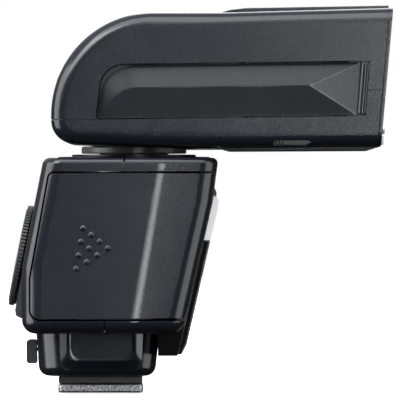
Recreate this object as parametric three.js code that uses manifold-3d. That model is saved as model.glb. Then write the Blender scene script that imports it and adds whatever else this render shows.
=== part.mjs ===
// A compact hot-shoe speedlight flash, built as an assembly of separate pieces.
//
// Frame: millimetres, +Z up, the flash fires towards -Y, and X runs across its width.
// The origin is the centre of the hot-shoe foot's bottom face.
// Side profiles are written as [forward, up], where forward is the distance towards -Y.

import * as THREE from 'three';
import { mergeVertices } from 'three/addons/utils/BufferGeometryUtils.js';
import Module from 'manifold-3d';

const wasm = await Module();
wasm.setup();

// ---- Driving dimensions ----

const GAP = 0.3;                 // between pieces that touch
const WALL = 1.8;                // moulded shell wall

const FOOT_HALF = 9.3;           // standard shoe foot, 18.6 mm square
const FOOT_END = 9.36;
const FOOT_TOP = 1.95;
const STEM_TOP = 3.55;
const PIN_FORWARD = 5.5;         // the lock pin drops through the foot here
const PEDESTAL_HALF = 13.5;
const PEDESTAL_BOTTOM = 3.65;

const BODY_BOTTOM = 13.2;
const BODY_TOP = 51.7;
const BODY_HALF = 30;
const BODY_FRONT_HALF = 28.2;
const BODY_CORNER = 4.5;
const REAR_LEAN = THREE.MathUtils.degToRad(11.26);
const REAR_KNEE = [-17.0, 27.9]; // where the upright back starts to lean forward
const FRONT_FOOT = [17.6, 10.7];
const FRONT_KNEE = [24.7, 42.0];
const FRONT_UPPER_SLOPE = 0.13;  // forward per height above the front knee

const PANEL_HALF = 25.5;
const DIAL_RADIUS = 10.95;
const DIAL_X = 12.6;
const DIAL_UP = 2.2;
const DIAL_RIBS = 84;
const BUTTON_UP = 17.2;

const BATTERY_RADIUS = 7.25;     // four AA cells across the width
const BATTERY_LENGTH = 49.3;
const BATTERY_ROWS = [[[-5.3, 24.3], [9.8, 24.3]], [[-2.1, 39.4], [13.0, 39.4]]];
const DOOR_X = -26;
const DOOR_BAND = [16.3, 48.4];
const DOOR_REAR = -15.2;         // the door's rear edge, upright up to the knee and leaning forward above it
const DOOR_KNEE_UP = 25.2;
const DOOR_REAR_TOP = -11.0;
const DOOR_RISE = 0.45;          // how far the door's lower edge climbs, to clear the shell as it swings
const HINGE_X = -24.9;
const HINGE_DEPTH = 1.9;
const BARREL_RADIUS = 1.4;
const HINGE_BAY = [-27.2, -22.2]; // across the width, open to the front so that the door can slide out
const BAY_REACH = 10;
const WIRE_RADIUS = 0.45;
const WIRE_LEGS = [17.2, 47.6];  // heights of the hinge wire's two legs

const SWIVEL = [7.3, 52.5];      // [forward, up] of the swivel joint
const TURNTABLE_RADIUS = 11.6;
const TILT = [-1, 66];           // [forward, up] of the tilt axle
const DRUM_RADIUS = 9;
const DRUM_HALF = 11.6;
const SLOT_HALF = 12.2;
const SLOT_REACH = 14.6;

const HEAD_HALF = 30.5;
const HEAD_FILLET = 3.2;
const HEAD_WALL = 1.7;
const SEAM_GAP = 0.2;
const HEAD_SEAM = [              // where the head's two halves part, seen from the side
  [-20, 60], [-0.8, 60], [-0.6, 60.4], [58.4, 61.2], [58.6, 66.5], [80, 66.5],
];
const HEAD_OUTLINE = [           // [forward, up, corner radius]
  [-10.6, 54.9, 5.2], [20, 53.65, 0], [70, 54.2, 0], [70, 84.55, 0], [27, 83.4, 0],
  [-10.6, 83.4, 22.4],
];
const LENS_FOOT = [61.4, 54.1];  // lower edge of the slanted lens face, which cuts the outline off
const LENS_LEAN = THREE.MathUtils.degToRad(5.1);
const BEZEL = 0.6;
const LENS_HALF = 28.2;
const LENS_BAND = [59.9, 81.8];
const POCKET = [                 // sculpted recess in each side of the head
  [-0.6, 60.3, 0.4], [56.1, 61.05, 0.4], [57.2, 72.55, 0.4], [0.9, 71.8, 5],
];
const POCKET_DEPTH = 3.1;
const CLIP_BAR = {               // upright bar at the pocket's front end, and the room left round it
  x: 29.6, foot: [57.2, 61], slope: 0.08, radius: 0.85, room: 1.25,
};
const RIDGE_UP = 67.3;           // height of the crest along each side panel

const CARD_HALF = 24;            // the wide panel and the bounce card slide out of the head's front
const WIDE_PANEL_BAND = [57.4, 58.2];
const BOUNCE_CARD_BAND = [56.1, 56.6];
const TAB_HALF = 6;

const SCREW = [24, 75.5];        // [x, up] of the zoom's lead screw
const GUIDES = [[24.4, 64], [-24.4, 75.5]]; // [x, up] of the carriage's guide rods
const CARRIAGE_BACK = 32.4;
const FOCUS = { forward: 34.6, up: 70.5, half: 7.6, curve: 0.22 }; // the reflector's parabola

// ---- Plain colours ----

const plastic = (color, roughness = 0.55) => new THREE.MeshStandardMaterial({ color, roughness, metalness: 0 });
const metal = (color, roughness = 0.3) => new THREE.MeshStandardMaterial({ color, roughness, metalness: 1 });
const SHELL = '#3a3f47';
const DARK = '#23262b';
const BLACK = '#0c0d0f';
const STEEL = '#b9bcc0';
const BRASS = '#c9a45a';
const BOARD = '#1f5a3a';
const CLEAR = '#d8e2ea';
const CARD_WHITE = '#f2f3f4';
const MIRROR = '#e6e8ea';
const SLEEVE = '#15171c';
const CELL = '#8f9aa5';

// ---- Solids: three.js geometry made into closed solids that can be joined and cut ----

function solid(geometry) {
  geometry.deleteAttribute('normal');
  geometry.deleteAttribute('uv');
  const merged = mergeVertices(geometry, 1e-4);
  const vertProperties = new Float32Array(merged.attributes.position.array);
  const triVerts = new Uint32Array(merged.index.array);
  return new wasm.Manifold(new wasm.Mesh({ numProp: 3, vertProperties, triVerts }));
}

function toGeometry(part) {
  const mesh = part.getMesh();
  const geometry = new THREE.BufferGeometry();
  geometry.setAttribute('position', new THREE.BufferAttribute(mesh.vertProperties, 3));
  geometry.setIndex(new THREE.BufferAttribute(mesh.triVerts, 1));
  geometry.computeVertexNormals();
  return geometry;
}

const cut = (part, ...tools) => tools.reduce((rest, tool) => rest.subtract(tool), part);
const join = (first, ...others) => others.reduce((whole, other) => whole.add(other), first);
const at = (x, forward, up) => new THREE.Vector3(x, -forward, up);

function box(x0, x1, forward0, forward1, z0, z1) {
  const block = new THREE.BoxGeometry(x1 - x0, forward1 - forward0, z1 - z0);
  return solid(block.translate((x0 + x1) / 2, -(forward0 + forward1) / 2, (z0 + z1) / 2));
}

function rod(from, to, radius, sides = 24) {
  const along = to.clone().sub(from);
  const cylinder = new THREE.CylinderGeometry(radius, radius, along.length(), sides);
  const turn = new THREE.Quaternion().setFromUnitVectors(new THREE.Vector3(0, 1, 0), along.normalize());
  const middle = from.clone().add(to).multiplyScalar(0.5);
  return solid(cylinder.applyQuaternion(turn).translate(middle.x, middle.y, middle.z));
}

const upright = (forward, z0, z1, radius, sides = 48, x = 0) =>
  rod(at(x, forward, z0), at(x, forward, z1), radius, sides);
const crossRod = ([forward, up], x0, x1, radius, sides = 32) =>
  rod(at(x0, forward, up), at(x1, forward, up), radius, sides);
const lengthwise = ([x, up], forward0, forward1, radius, sides) =>
  rod(at(x, forward0, up), at(x, forward1, up), radius, sides);

// A closed outline with every corner rounded. Insetting moves its sides in and tightens its corners,
// and always gives the same number of points, so that outlines can be lofted.
function roundedOutline(corners, inset = 0, steps = 5) {
  const count = corners.length;
  const area = corners.reduce((sum, [x, y], i) => {
    const [nextX, nextY] = corners[(i + 1) % count];
    return sum + x * nextY - nextX * y;
  }, 0);
  const side = Math.sign(area);
  const points = [];
  for (let i = 0; i < count; i += 1) {
    const corner = new THREE.Vector2(corners[i][0], corners[i][1]);
    const before = new THREE.Vector2(...corners[(i + count - 1) % count].slice(0, 2));
    const after = new THREE.Vector2(...corners[(i + 1) % count].slice(0, 2));
    const into = corner.clone().sub(before).normalize();
    const out = after.clone().sub(corner).normalize();
    const normalIn = new THREE.Vector2(-into.y, into.x).multiplyScalar(side);
    const normalOut = new THREE.Vector2(-out.y, out.x).multiplyScalar(side);
    const bisector = normalIn.clone().add(normalOut).normalize();
    const halfTurn = Math.acos(THREE.MathUtils.clamp(bisector.dot(normalIn), -1, 1));
    const tip = corner.clone().addScaledVector(bisector, inset / Math.cos(halfTurn));
    const radius = corners[i][2] ? Math.max(corners[i][2] - inset, 0.05) : 0;
    if (radius === 0) {
      points.push(tip);
      continue;
    }
    const centre = tip.clone().addScaledVector(bisector, radius / Math.cos(halfTurn));
    const start = Math.atan2(-normalIn.y, -normalIn.x);
    const arcSteps = corners[i][2] > 20 ? steps * 3 : steps;
    for (let step = 0; step <= arcSteps; step += 1) {
      const angle = start + side * 2 * halfTurn * (step / arcSteps);
      points.push(new THREE.Vector2(centre.x + radius * Math.cos(angle), centre.y + radius * Math.sin(angle)));
    }
  }
  return points;
}

// A solid between rings of points that all have the same count, closed by a flat cap at each end.
function loft(rings) {
  const count = rings[0].length;
  const positions = rings.flat().flatMap((point) => [point.x, point.y, point.z]);
  const faces = [];
  for (let level = 0; level < rings.length - 1; level += 1) {
    for (let i = 0; i < count; i += 1) {
      const a = level * count + i;
      const b = level * count + ((i + 1) % count);
      faces.push([a, b, b + count], [a, b + count, a + count]);
    }
  }
  const last = (rings.length - 1) * count;
  for (let i = 1; i < count - 1; i += 1) {
    faces.push([0, i + 1, i], [last, last + i, last + i + 1]);
  }
  const normal = new THREE.Vector3();
  let volume = 0;
  for (const face of faces) {
    const [a, b, c] = face.map((index) => new THREE.Vector3().fromArray(positions, index * 3));
    volume += a.dot(normal.crossVectors(b, c));
  }
  const outward = volume > 0 ? faces : faces.map(([a, b, c]) => [a, c, b]);
  const geometry = new THREE.BufferGeometry();
  geometry.setAttribute('position', new THREE.Float32BufferAttribute(positions, 3));
  geometry.setIndex(outward.flat());
  return solid(geometry);
}

// A side profile of [forward, up] points, extruded across the width from x0 to x1.
function acrossWidth(profile, x0, x1) {
  const shape = new THREE.Shape(profile.map((point) => new THREE.Vector2(...point)));
  const geometry = new THREE.ExtrudeGeometry(shape, { depth: x1 - x0, bevelEnabled: false });
  const basis = new THREE.Matrix4().makeBasis(
    new THREE.Vector3(0, -1, 0), new THREE.Vector3(0, 0, 1), new THREE.Vector3(-1, 0, 0));
  return solid(geometry.applyMatrix4(basis).translate(x1, 0, 0));
}

const roundedSlab = (corners, x0, x1, inset = 0) =>
  acrossWidth(roundedOutline(corners, inset).map((point) => [point.x, point.y]), x0, x1);

// Insets and heights of a quarter-round edge, from the flat face to the side.
function quarterRound(radius, steps) {
  return Array.from({ length: steps + 1 }, (_, i) => {
    const angle = (Math.PI / 2) * (i / steps);
    return { inset: radius * (1 - Math.sin(angle)), rise: radius * (1 - Math.cos(angle)) };
  });
}

function addPart(parent, name, part, material) {
  const mesh = new THREE.Mesh(part.isBufferGeometry ? part : toGeometry(part), material);
  mesh.name = name;
  parent.add(mesh);
  return mesh;
}

// ---- Body outline ----

const leanRear = (z) => REAR_KNEE[0] + Math.max(0, z - REAR_KNEE[1]) * Math.tan(REAR_LEAN);
function bodyFront(z) {
  const lower = (FRONT_KNEE[0] - FRONT_FOOT[0]) / (FRONT_KNEE[1] - FRONT_FOOT[1]);
  const slope = z < FRONT_KNEE[1] ? lower : FRONT_UPPER_SLOPE;
  return FRONT_KNEE[0] + (z - FRONT_KNEE[1]) * slope;
}
const bodyBend = (z) => 8 + (z - 17.9) * 0.172;

function bodyRing(z, inset) {
  const rear = leanRear(z);
  const bend = bodyBend(z);
  const front = bodyFront(z);
  const corners = [
    [-BODY_HALF, rear, BODY_CORNER], [BODY_HALF, rear, BODY_CORNER], [BODY_HALF, bend, 12],
    [BODY_FRONT_HALF, front, BODY_CORNER], [-BODY_FRONT_HALF, front, BODY_CORNER], [-BODY_HALF, bend, 12],
  ];
  return roundedOutline(corners, inset, 4).map((point) => at(point.x, point.y, z));
}

function bodySolid(wall) {
  const rings = [];
  for (const { inset, rise } of quarterRound(3 - wall / 2, 3)) {
    rings.push(bodyRing(BODY_BOTTOM + wall + rise, wall + inset));
  }
  rings.push(bodyRing(REAR_KNEE[1], wall), bodyRing(FRONT_KNEE[1], wall));
  for (const { inset, rise } of quarterRound(1.4 - wall / 2, 3).reverse()) {
    rings.push(bodyRing(BODY_TOP - wall - rise, wall + inset));
  }
  return loft(rings);
}

// ---- Rear panel frame: x across, out along the panel's normal, up along its slope ----

function onPanel(x, out, up) {
  const cos = Math.cos(REAR_LEAN);
  const sin = Math.sin(REAR_LEAN);
  return new THREE.Vector3(x, -REAR_KNEE[0] + out * cos - up * sin, REAR_KNEE[1] + out * sin + up * cos);
}

function panelGroup(parent) {
  const group = new THREE.Group();
  group.position.set(0, -REAR_KNEE[0], REAR_KNEE[1]);
  group.rotation.x = REAR_LEAN;
  parent.add(group);
  return group;
}

// ---- Foot ----

function buildFoot(parent) {
  const pinHole = upright(PIN_FORWARD, -1, 20, 1.2, 24);
  const signs = [[-1, -1], [1, -1], [1, 1], [-1, 1]];
  const corners = signs.map(([across, along]) => [across * FOOT_HALF, along * FOOT_END, 1.2]);
  const ring = (z, inset) => roundedOutline(corners, inset, 3).map((point) => at(point.x, point.y, z));
  const plate = loft([ring(0, 0.3), ring(0.3, 0), ring(FOOT_TOP - 0.3, 0), ring(FOOT_TOP, 0.3)]);
  addPart(parent, 'foot_plate', cut(plate, box(-5.6, 5.6, -7.6, 7.6, -1, 3)), metal(STEEL));

  const contactSpots = [[-3.2, -4.4], [3.2, -4.4], [0, -5.6]];
  const sockets = contactSpots.map(([x, forward]) => upright(forward, -1, 3, 0.95, 16, x));
  const insert = cut(box(-5.3, 5.3, -7.3, 7.3, 0, 1.9), upright(0, -1, 3, 1.6), pinHole, ...sockets);
  addPart(parent, 'foot_insert', insert, plastic(BLACK));
  addPart(parent, 'center_contact', upright(0, 0, 1.9, 1.35, 24), metal(BRASS));
  contactSpots.forEach(([x, forward], i) => {
    addPart(parent, `data_contact_${i + 1}`, upright(forward, 0, 1.9, 0.7, 16, x), metal(BRASS));
  });

  const stem = cut(box(-6.2, 6.2, -9.3, 9.2, 2.05, STEM_TOP), pinHole);
  addPart(parent, 'foot_stem', stem, plastic(BLACK, 0.4));
  addPart(parent, 'foot_pedestal', cut(pedestalSolid(), pinHole), plastic(SHELL));
}

function pedestalSolid() {
  const ring = (z, rear, front, inset) => {
    const signs = [[-1, rear], [1, rear], [1, front], [-1, front]];
    const corners = signs.map(([across, forward]) => [across * PEDESTAL_HALF, forward, 4]);
    return roundedOutline(corners, inset, 3).map((point) => at(point.x, point.y, z));
  };
  const rings = quarterRound(2.4, 3).map(({ inset, rise }) => ring(PEDESTAL_BOTTOM + rise, -13.7, 11.9, inset));
  rings.push(ring(BODY_BOTTOM - 0.1, -14.2, 12.3, 0));
  const sideRecess = [[-7.2, 7.4, 1], [7.2, 7.4, 1], [7.2, 20, 1], [-7.2, 20, 1]];
  return cut(
    loft(rings),
    roundedSlab(sideRecess, -20, -11.4), roundedSlab(sideRecess, 11.4, 20),
    box(-7.4, 7.4, -16, 8.2, 8, 10.2), upright(PIN_FORWARD, 6.6, 9, 2.2));
}

// ---- Shoe lock: the rear slider pushes the lock pin down into the camera's shoe ----

function buildShoeLock(parent) {
  const section = [[-16.4, 6.4, 0.7], [-14.6, 6.4, 0.3], [-14.6, 11.6, 0.3], [-16.4, 11.6, 0.7]];
  const knob = roundedSlab(section, -6, 6);
  const ribs = [-4, -2, 0, 2, 4].map((x) => box(x - 0.45, x + 0.45, -17, -16, 6, 12));
  const tongue = box(-2.4, 2.4, -15, 7, 9.1, 9.9);
  addPart(parent, 'lock_slider', join(cut(knob, ...ribs), tongue), plastic(DARK));
  const pin = join(upright(PIN_FORWARD, 0.1, 8.5, 0.9, 20), upright(PIN_FORWARD, 8.1, 8.8, 1.8, 24));
  addPart(parent, 'lock_pin', pin, metal(STEEL));
}

// ---- Body shells and the parts fixed to them ----

const doorOutline = (grow = 0, rise = 0) => {
  const [low, high] = DOOR_BAND;
  const corners = [
    [DOOR_REAR, low, 2.2], [40, low + rise, 0], [40, high, 0], [DOOR_REAR_TOP, high, 1.2],
    [DOOR_REAR, DOOR_KNEE_UP, 0],
  ];
  return roundedOutline(corners, -grow, 4).map((point) => [point.x, point.y]);
};

// The door's hinge line is straight, at a set depth under the front face at the door's two ends.
function hingePoint(z) {
  const [low, high] = DOOR_BAND;
  const slope = (bodyFront(high) - bodyFront(low)) / (high - low);
  return at(HINGE_X, bodyFront(low) + (z - low) * slope - HINGE_DEPTH, z);
}

function frontPanelProfile(z0, z1, inner, outer) {
  const heights = [z0, z1];
  const inside = heights.map((z) => [bodyFront(z) + inner, z]);
  const outside = heights.map((z) => [bodyFront(z) + outer, z]).reverse();
  return [...inside, ...outside];
}

function buildShells(parent) {
  const chin = acrossWidth(
    [[12.7, 8.3], [17.0, 8.3], [FRONT_FOOT[0], FRONT_FOOT[1]], [bodyFront(17), 17], [12.7, 17]], -22, 22);
  const doorway = acrossWidth(doorOutline(GAP), -45, HINGE_X + 0.2);
  const bayEnds = [DOOR_BAND[0] - GAP, DOOR_BAND[1] + GAP].map((z) => [-hingePoint(z).y, z]);
  const bayBack = bayEnds.map(([forward, z]) => [forward - BARREL_RADIUS - 2 * GAP, z]);
  const bayMouth = bayEnds.map(([forward, z]) => [forward + BAY_REACH, z]).reverse();
  const hingeBay = acrossWidth([...bayBack, ...bayMouth], ...HINGE_BAY);
  const panelWindow = box(-PANEL_HALF - GAP, PANEL_HALF + GAP, -40, -5, 16.3, 48.8);
  const inside = bodySolid(WALL);
  const shaft = upright(SWIVEL[0], 40, 60, 8);
  const ringSeat = upright(SWIVEL[0], 51.0, 60, 17.1);
  const lightWindow = box(-12, 12, 10, 40, 34.9, 42);
  const wireWay = box(-4, 4, -5, 5, 10, 18);
  const split = [[6.4 + GAP / 2, 60], [GAP / 2, 5], [60, 5], [60, 60]];
  const whole = cut(join(bodySolid(0), chin), inside, doorway, hingeBay, panelWindow, shaft, ringSeat, wireWay);
  const frontHalf = acrossWidth(split, -40, 40);
  const rearHalf = acrossWidth([[6.4 - GAP / 2, 60], [-GAP / 2, 5], [-40, 5], [-40, 60]], -40, 40);
  addPart(parent, 'front_shell', cut(whole.intersect(frontHalf), lightWindow), plastic(SHELL));
  addPart(parent, 'rear_shell', whole.intersect(rearHalf), plastic(SHELL));
}

function buildFrontPanel(parent) {
  const sensor = acrossWidth(frontPanelProfile(10.9, 33.6, 0.2, 1.4), -21.5, 21.5);
  addPart(parent, 'sensor_window', sensor, plastic(BLACK, 0.1));
  const lens = acrossWidth(frontPanelProfile(33.9, 43.1, 0.2, 1.4), -21.5, 21.5);
  addPart(parent, 'video_light_lens', lens, plastic(CLEAR, 0.1));
  const frame = acrossWidth(frontPanelProfile(43.4, 44.3, 0.2, 0.6), -21.5, 21.5);
  addPart(parent, 'front_bezel', frame, plastic(DARK));
  const board = acrossWidth(frontPanelProfile(35.3, 41.6, -1.5, -0.3), -11.5, 11.5);
  addPart(parent, 'light_board', board, plastic(BOARD));
}

function buildRearPanel(parent) {
  const top = 20.4;
  const outerTop = onPanel(0, 0, top);
  const innerTop = onPanel(0, -1.65, top);
  const profile = [
    [-outerTop.y, outerTop.z], [-18.5, 18.4], [-18.3, 17.2], [-17.2, 16.6], [-15.3, 16.6],
    [-15.3, 27.6], [-innerTop.y, innerTop.z],
  ];
  const shafts = [-DIAL_X, DIAL_X].map((x) => rod(onPanel(x, -6, DIAL_UP), onPanel(x, 3, DIAL_UP), 2.6));
  const wells = [-13, 13].map((x) => rod(onPanel(x, -6, BUTTON_UP), onPanel(x, 3, BUTTON_UP), 2.9));
  const switchSlot = box(-4.3, 4.3, -25, -5, 43.0, 46.4);
  const panel = cut(acrossWidth(profile, -PANEL_HALF, PANEL_HALF), ...shafts, ...wells, switchSlot);
  addPart(parent, 'rear_panel', panel, plastic(DARK));

  const place = panelGroup(parent);
  const shaftDrop = 4.6;
  const shaftHoles = [-DIAL_X, DIAL_X].map((x) =>
    rod(new THREE.Vector3(x, -2, -shaftDrop), new THREE.Vector3(x, 2, -shaftDrop), 2.6));
  const board = cut(solid(new THREE.BoxGeometry(48, 1, 12.4)), ...shaftHoles);
  addPart(place, 'control_board', board, plastic(BOARD)).position.set(0, -2.7, DIAL_UP + shaftDrop);
}

function buildDial(parent, name, x) {
  const outline = [];
  for (let i = 0; i < DIAL_RIBS * 2; i += 1) {
    const angle = (Math.PI * i) / DIAL_RIBS;
    const radius = DIAL_RADIUS - (i % 2 ? 0.35 : 0);
    outline.push(new THREE.Vector2(radius * Math.cos(angle), radius * Math.sin(angle)));
  }
  const rim = new THREE.ExtrudeGeometry(new THREE.Shape(outline), { depth: 1.4, bevelEnabled: false });
  rim.rotateX(-Math.PI / 2).translate(0, 0.25, 0);
  const shaft = rod(new THREE.Vector3(0, -3, 0), new THREE.Vector3(0, 1, 0), 2.2);
  const place = panelGroup(parent);
  addPart(place, name, join(solid(rim), shaft), plastic(DARK)).position.set(x, 0, DIAL_UP);
}

function buildButtons(parent) {
  const place = panelGroup(parent);
  for (const [name, x] of [['test_button', 13], ['light_button', -13]]) {
    const cap = join(
      rod(new THREE.Vector3(0, -2.3, 0), new THREE.Vector3(0, 0.1, 0), 2.6),
      rod(new THREE.Vector3(0, -2.6, 0), new THREE.Vector3(0, -1.95, 0), 3.3));
    addPart(place, name, cap, plastic(SHELL, 0.4)).position.set(x, 0, BUTTON_UP);
  }
  const knob = new THREE.BoxGeometry(3.6, 2.2, 1.7).translate(0, -0.8, 0);
  const slide = new THREE.BoxGeometry(9, 0.6, 3.2).translate(0, -2.2, 0);
  addPart(place, 'power_switch', join(solid(knob), solid(slide)), plastic(SHELL, 0.4))
    .position.set(-2, 0, 17.0);
}

// ---- Batteries ----

function buildPower(parent) {
  const tubes = BATTERY_ROWS.flat();
  const outer = [
    [tubes[0][0] - 8.05, 16.25, 8], [tubes[1][0] + 8.05, 16.25, 8],
    [tubes[3][0] + 8.05, 47.45, 8], [tubes[2][0] - 8.05, 47.45, 8],
  ];
  const bores = tubes.map((centre) => crossRod(centre, -40, 40, BATTERY_RADIUS + 0.25, 32));
  const cage = cut(roundedSlab(outer, -23.2, 24.7), ...bores);
  addPart(parent, 'battery_cage', cage, plastic(BLACK));
  tubes.forEach(([forward, up], i) => {
    const cell = join(
      crossRod([0, 0], -BATTERY_LENGTH / 2, BATTERY_LENGTH / 2, BATTERY_RADIUS, 28),
      crossRod([0, 0], i % 2 ? -25.2 : 24, i % 2 ? -24 : 25.2, 2.75, 16));
    addPart(parent, `battery_${i + 1}`, cell, metal(CELL)).position.set(0, -forward, up);
  });
  const strip = [[-9, 19, 1], [13, 19, 1], [17, 45, 1], [-5.5, 45, 1]];
  addPart(parent, 'terminal_plate', roundedSlab(strip, 25.5, 26.1), metal(STEEL));
  const board = [[-12, 18, 1], [8, 18, 1], [12.5, 46, 1], [-7.5, 46, 1]];
  addPart(parent, 'main_board', roundedSlab(board, 26.5, 27.4), plastic(BOARD));
}

function buildDoor(carrier, door) {
  const wire = join(
    rod(hingePoint(WIRE_LEGS[0]), hingePoint(WIRE_LEGS[1]), WIRE_RADIUS, 12),
    ...WIRE_LEGS.map((z) => rod(
      hingePoint(z).add(new THREE.Vector3(0, -0.3, 0)), hingePoint(z).add(new THREE.Vector3(0, 2.4, 0)),
      WIRE_RADIUS, 12)));
  addPart(carrier, 'door_hinge_wire', wire, metal(STEEL));

  const reach = acrossWidth(doorOutline(0, DOOR_RISE), -45, DOOR_X);
  const band = cut(bodySolid(0), bodySolid(WALL)).intersect(reach);
  const barrel = rod(hingePoint(18.4), hingePoint(46.4), BARREL_RADIUS, 20);
  const bore = rod(hingePoint(10), hingePoint(55), 0.75, 12);
  const clearOfLegs = WIRE_LEGS.map((z, i) => box(-30, -20, 0, 40, i ? z - 0.8 : 10, i ? 60 : z + 0.8));
  const hingeZone = clearOfLegs.map((zone) => zone.intersect(box(-26.2, -20, 0, 40, 0, 60)));
  addPart(door, 'battery_door', cut(join(band, barrel), bore, ...hingeZone), plastic(SHELL));
  const plate = roundedSlab([[-9, 19, 1], [12, 19, 1], [16, 45, 1], [-5.5, 45, 1]], -27.1, -26.5);
  const domes = BATTERY_ROWS.flat().map((centre) => crossRod(centre, -26.6, -25.6, 2.4, 12));
  addPart(door, 'door_contact', join(plate, ...domes), metal(STEEL));
}

// ---- Swivel joint ----

function buildSwivelRing(parent) {
  const [forward] = SWIVEL;
  const ring = join(upright(forward, 51.2, 52.0, 16.8), upright(forward, 51.2, 52.5, 13.7));
  addPart(parent, 'swivel_ring', cut(ring, upright(forward, 40, 60, 8)), plastic(BLACK));
}

function buildNeck(parent) {
  const [forward] = SWIVEL;
  const wireWay = upright(forward, 40, 60, 3.5, 24);
  const table = join(
    loft([
      ringAround(forward, 52.7, TURNTABLE_RADIUS), ringAround(forward, 54.0, TURNTABLE_RADIUS),
      ringAround(forward, 54.3, TURNTABLE_RADIUS - 0.3),
    ]),
    upright(forward, 49.5, 53, 7.6));
  addPart(parent, 'turntable', cut(table, wireWay), plastic(BLACK, 0.4));
  addPart(parent, 'swivel_retainer', cut(upright(forward, 48.0, 49.4, 10.5, 32), wireWay), metal(STEEL));

  const [axleForward, axleUp] = TILT;
  const column = acrossWidth([[-2, 54.4], [7.5, 54.4], [7.5, 63], [-2, 63]], -9.5, 9.5);
  const drum = crossRod(TILT, -DRUM_HALF, DRUM_HALF, DRUM_RADIUS, 48);
  const axleHole = crossRod(TILT, -20, 20, 2.3, 24);
  addPart(parent, 'tilt_bracket', cut(join(drum, column), axleHole), plastic(DARK));
  addPart(parent, 'tilt_axle', rod(at(-16, axleForward, axleUp), at(16, axleForward, axleUp), 2), metal(STEEL));
}

function ringAround(forward, z, radius, sides = 48) {
  return Array.from({ length: sides }, (_, i) => {
    const angle = (2 * Math.PI * i) / sides;
    return at(radius * Math.cos(angle), forward + radius * Math.sin(angle), z);
  });
}

// ---- Head ----

const lensFront = (z) => LENS_FOOT[0] + (z - LENS_FOOT[1]) * Math.tan(LENS_LEAN);

function headRing(x, inset) {
  return roundedOutline(HEAD_OUTLINE, inset, 4).map((point) => at(x, point.x, point.y));
}

function headSolid(wall) {
  const half = HEAD_HALF - wall;
  const fillet = HEAD_FILLET - wall / 2;
  const edge = quarterRound(fillet, 3);
  return loft([
    ...edge.map(({ inset, rise }) => headRing(-half + rise, wall + inset)),
    ...edge.map(({ inset, rise }) => headRing(half - rise, wall + inset)).reverse(),
  ]);
}

// The slab between two depths behind the slanted lens face.
function behindLens(near, far, half = 40, z0 = 40, z1 = 100) {
  return acrossWidth(
    [
      [lensFront(z0) - far, z0], [lensFront(z0) - near, z0],
      [lensFront(z1) - near, z1], [lensFront(z1) - far, z1],
    ],
    -half, half);
}

function neckSlot(grow) {
  const drum = crossRod(TILT, -SLOT_HALF - grow, SLOT_HALF + grow, DRUM_RADIUS + 0.4 + grow, 48);
  const front = 7.9 + grow;
  const sweep = acrossWidth([[-20, 45], [front, 45], [front, 67.4 + grow], [-20, 67.4 + grow]],
    -SLOT_HALF - grow, SLOT_HALF + grow);
  const reach = crossRod(TILT, -20, 20, SLOT_REACH + grow, 48);
  return join(drum, sweep.intersect(reach));
}

function clipCentre(side, up) {
  const [forward, footUp] = CLIP_BAR.foot;
  return at(side * CLIP_BAR.x, forward + (up - footUp) * CLIP_BAR.slope, up);
}

function buildHeadShells(parent) {
  const housing = neckSlot(1.4);
  const shell = cut(headSolid(0), cut(headSolid(HEAD_WALL), housing), neckSlot(0));
  const aboveTable = box(-SLOT_HALF, SLOT_HALF, -20, 19.4, 50, 54.65);
  const tiltHole = crossRod(TILT, -20, 20, 2.3, 24);
  const pockets = [-1, 1].flatMap((side) => {
    const edges = side < 0 ? [-35, -HEAD_HALF + POCKET_DEPTH + GAP] : [HEAD_HALF - POCKET_DEPTH - GAP, 35];
    const clipRoom = rod(clipCentre(side, 60.9), clipCentre(side, 72.7), CLIP_BAR.room);
    return [roundedSlab(POCKET, ...edges, -GAP), clipRoom];
  });
  const coverSeat = box(-26.3, 26.3, 26.5, 60.3, 50, 54.4);
  const ahead = behindLens(-20, BEZEL + GAP);
  const body = cut(shell, ahead, aboveTable, tiltHole, ...pockets, coverSeat);
  const seam = (offset) => HEAD_SEAM.map(([forward, up]) => [forward, up + offset]);
  const lower = acrossWidth([[-20, 40], ...seam(-SEAM_GAP / 2), [80, 40]], -40, 40);
  const upper = acrossWidth([[-20, 100], ...seam(SEAM_GAP / 2), [80, 100]], -40, 40);
  addPart(parent, 'head_upper_shell', body.intersect(upper), plastic(SHELL));
  addPart(parent, 'head_lower_shell', body.intersect(lower), plastic(SHELL));
}

function buildHeadTrim(parent) {
  for (const [name, side] of [['left', 1], ['right', -1]]) {
    const outer = side * (HEAD_HALF - 0.2);
    const inner = side * (HEAD_HALF - POCKET_DEPTH);
    const section = [
      [inner, 60], [outer - side * 1.4, 60], [outer, RIDGE_UP], [outer - side * 1.2, 73], [inner, 73],
    ];
    const shape = new THREE.Shape(section.map((point) => new THREE.Vector2(...point)));
    const prism = new THREE.ExtrudeGeometry(shape, { depth: 80, bevelEnabled: false });
    const ridge = solid(prism.rotateX(Math.PI / 2).translate(0, 10, 0));
    const edges = side < 0 ? [-35, -20] : [20, 35];
    const clipGap = rod(clipCentre(side, 60), clipCentre(side, 74), CLIP_BAR.room);
    const panel = cut(roundedSlab(POCKET, ...edges).intersect(ridge), clipGap);
    addPart(parent, `side_panel_${name}`, panel, plastic(DARK));
    const bar = rod(clipCentre(side, 61.2), clipCentre(side, 72.4), CLIP_BAR.radius, 16);
    addPart(parent, `clip_bar_${name}`, bar, plastic(SHELL));
  }
  const top = [[26.9, 83.55], [63.2, 84.55], [63.2, 85.0], [31.9, 84.45], [28.4, 84.1]];
  addPart(parent, 'top_cover', acrossWidth(top, -24.5, 24.5), plastic(SHELL));
  const underside = [[26.9, 53.6], [28.5, 53.25], [59, 53.4], [60, 53.7], [60, 54.1], [26.9, 54.1]];
  addPart(parent, 'underside_cover', acrossWidth(underside, -26, 26), plastic(SHELL));
}

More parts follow.
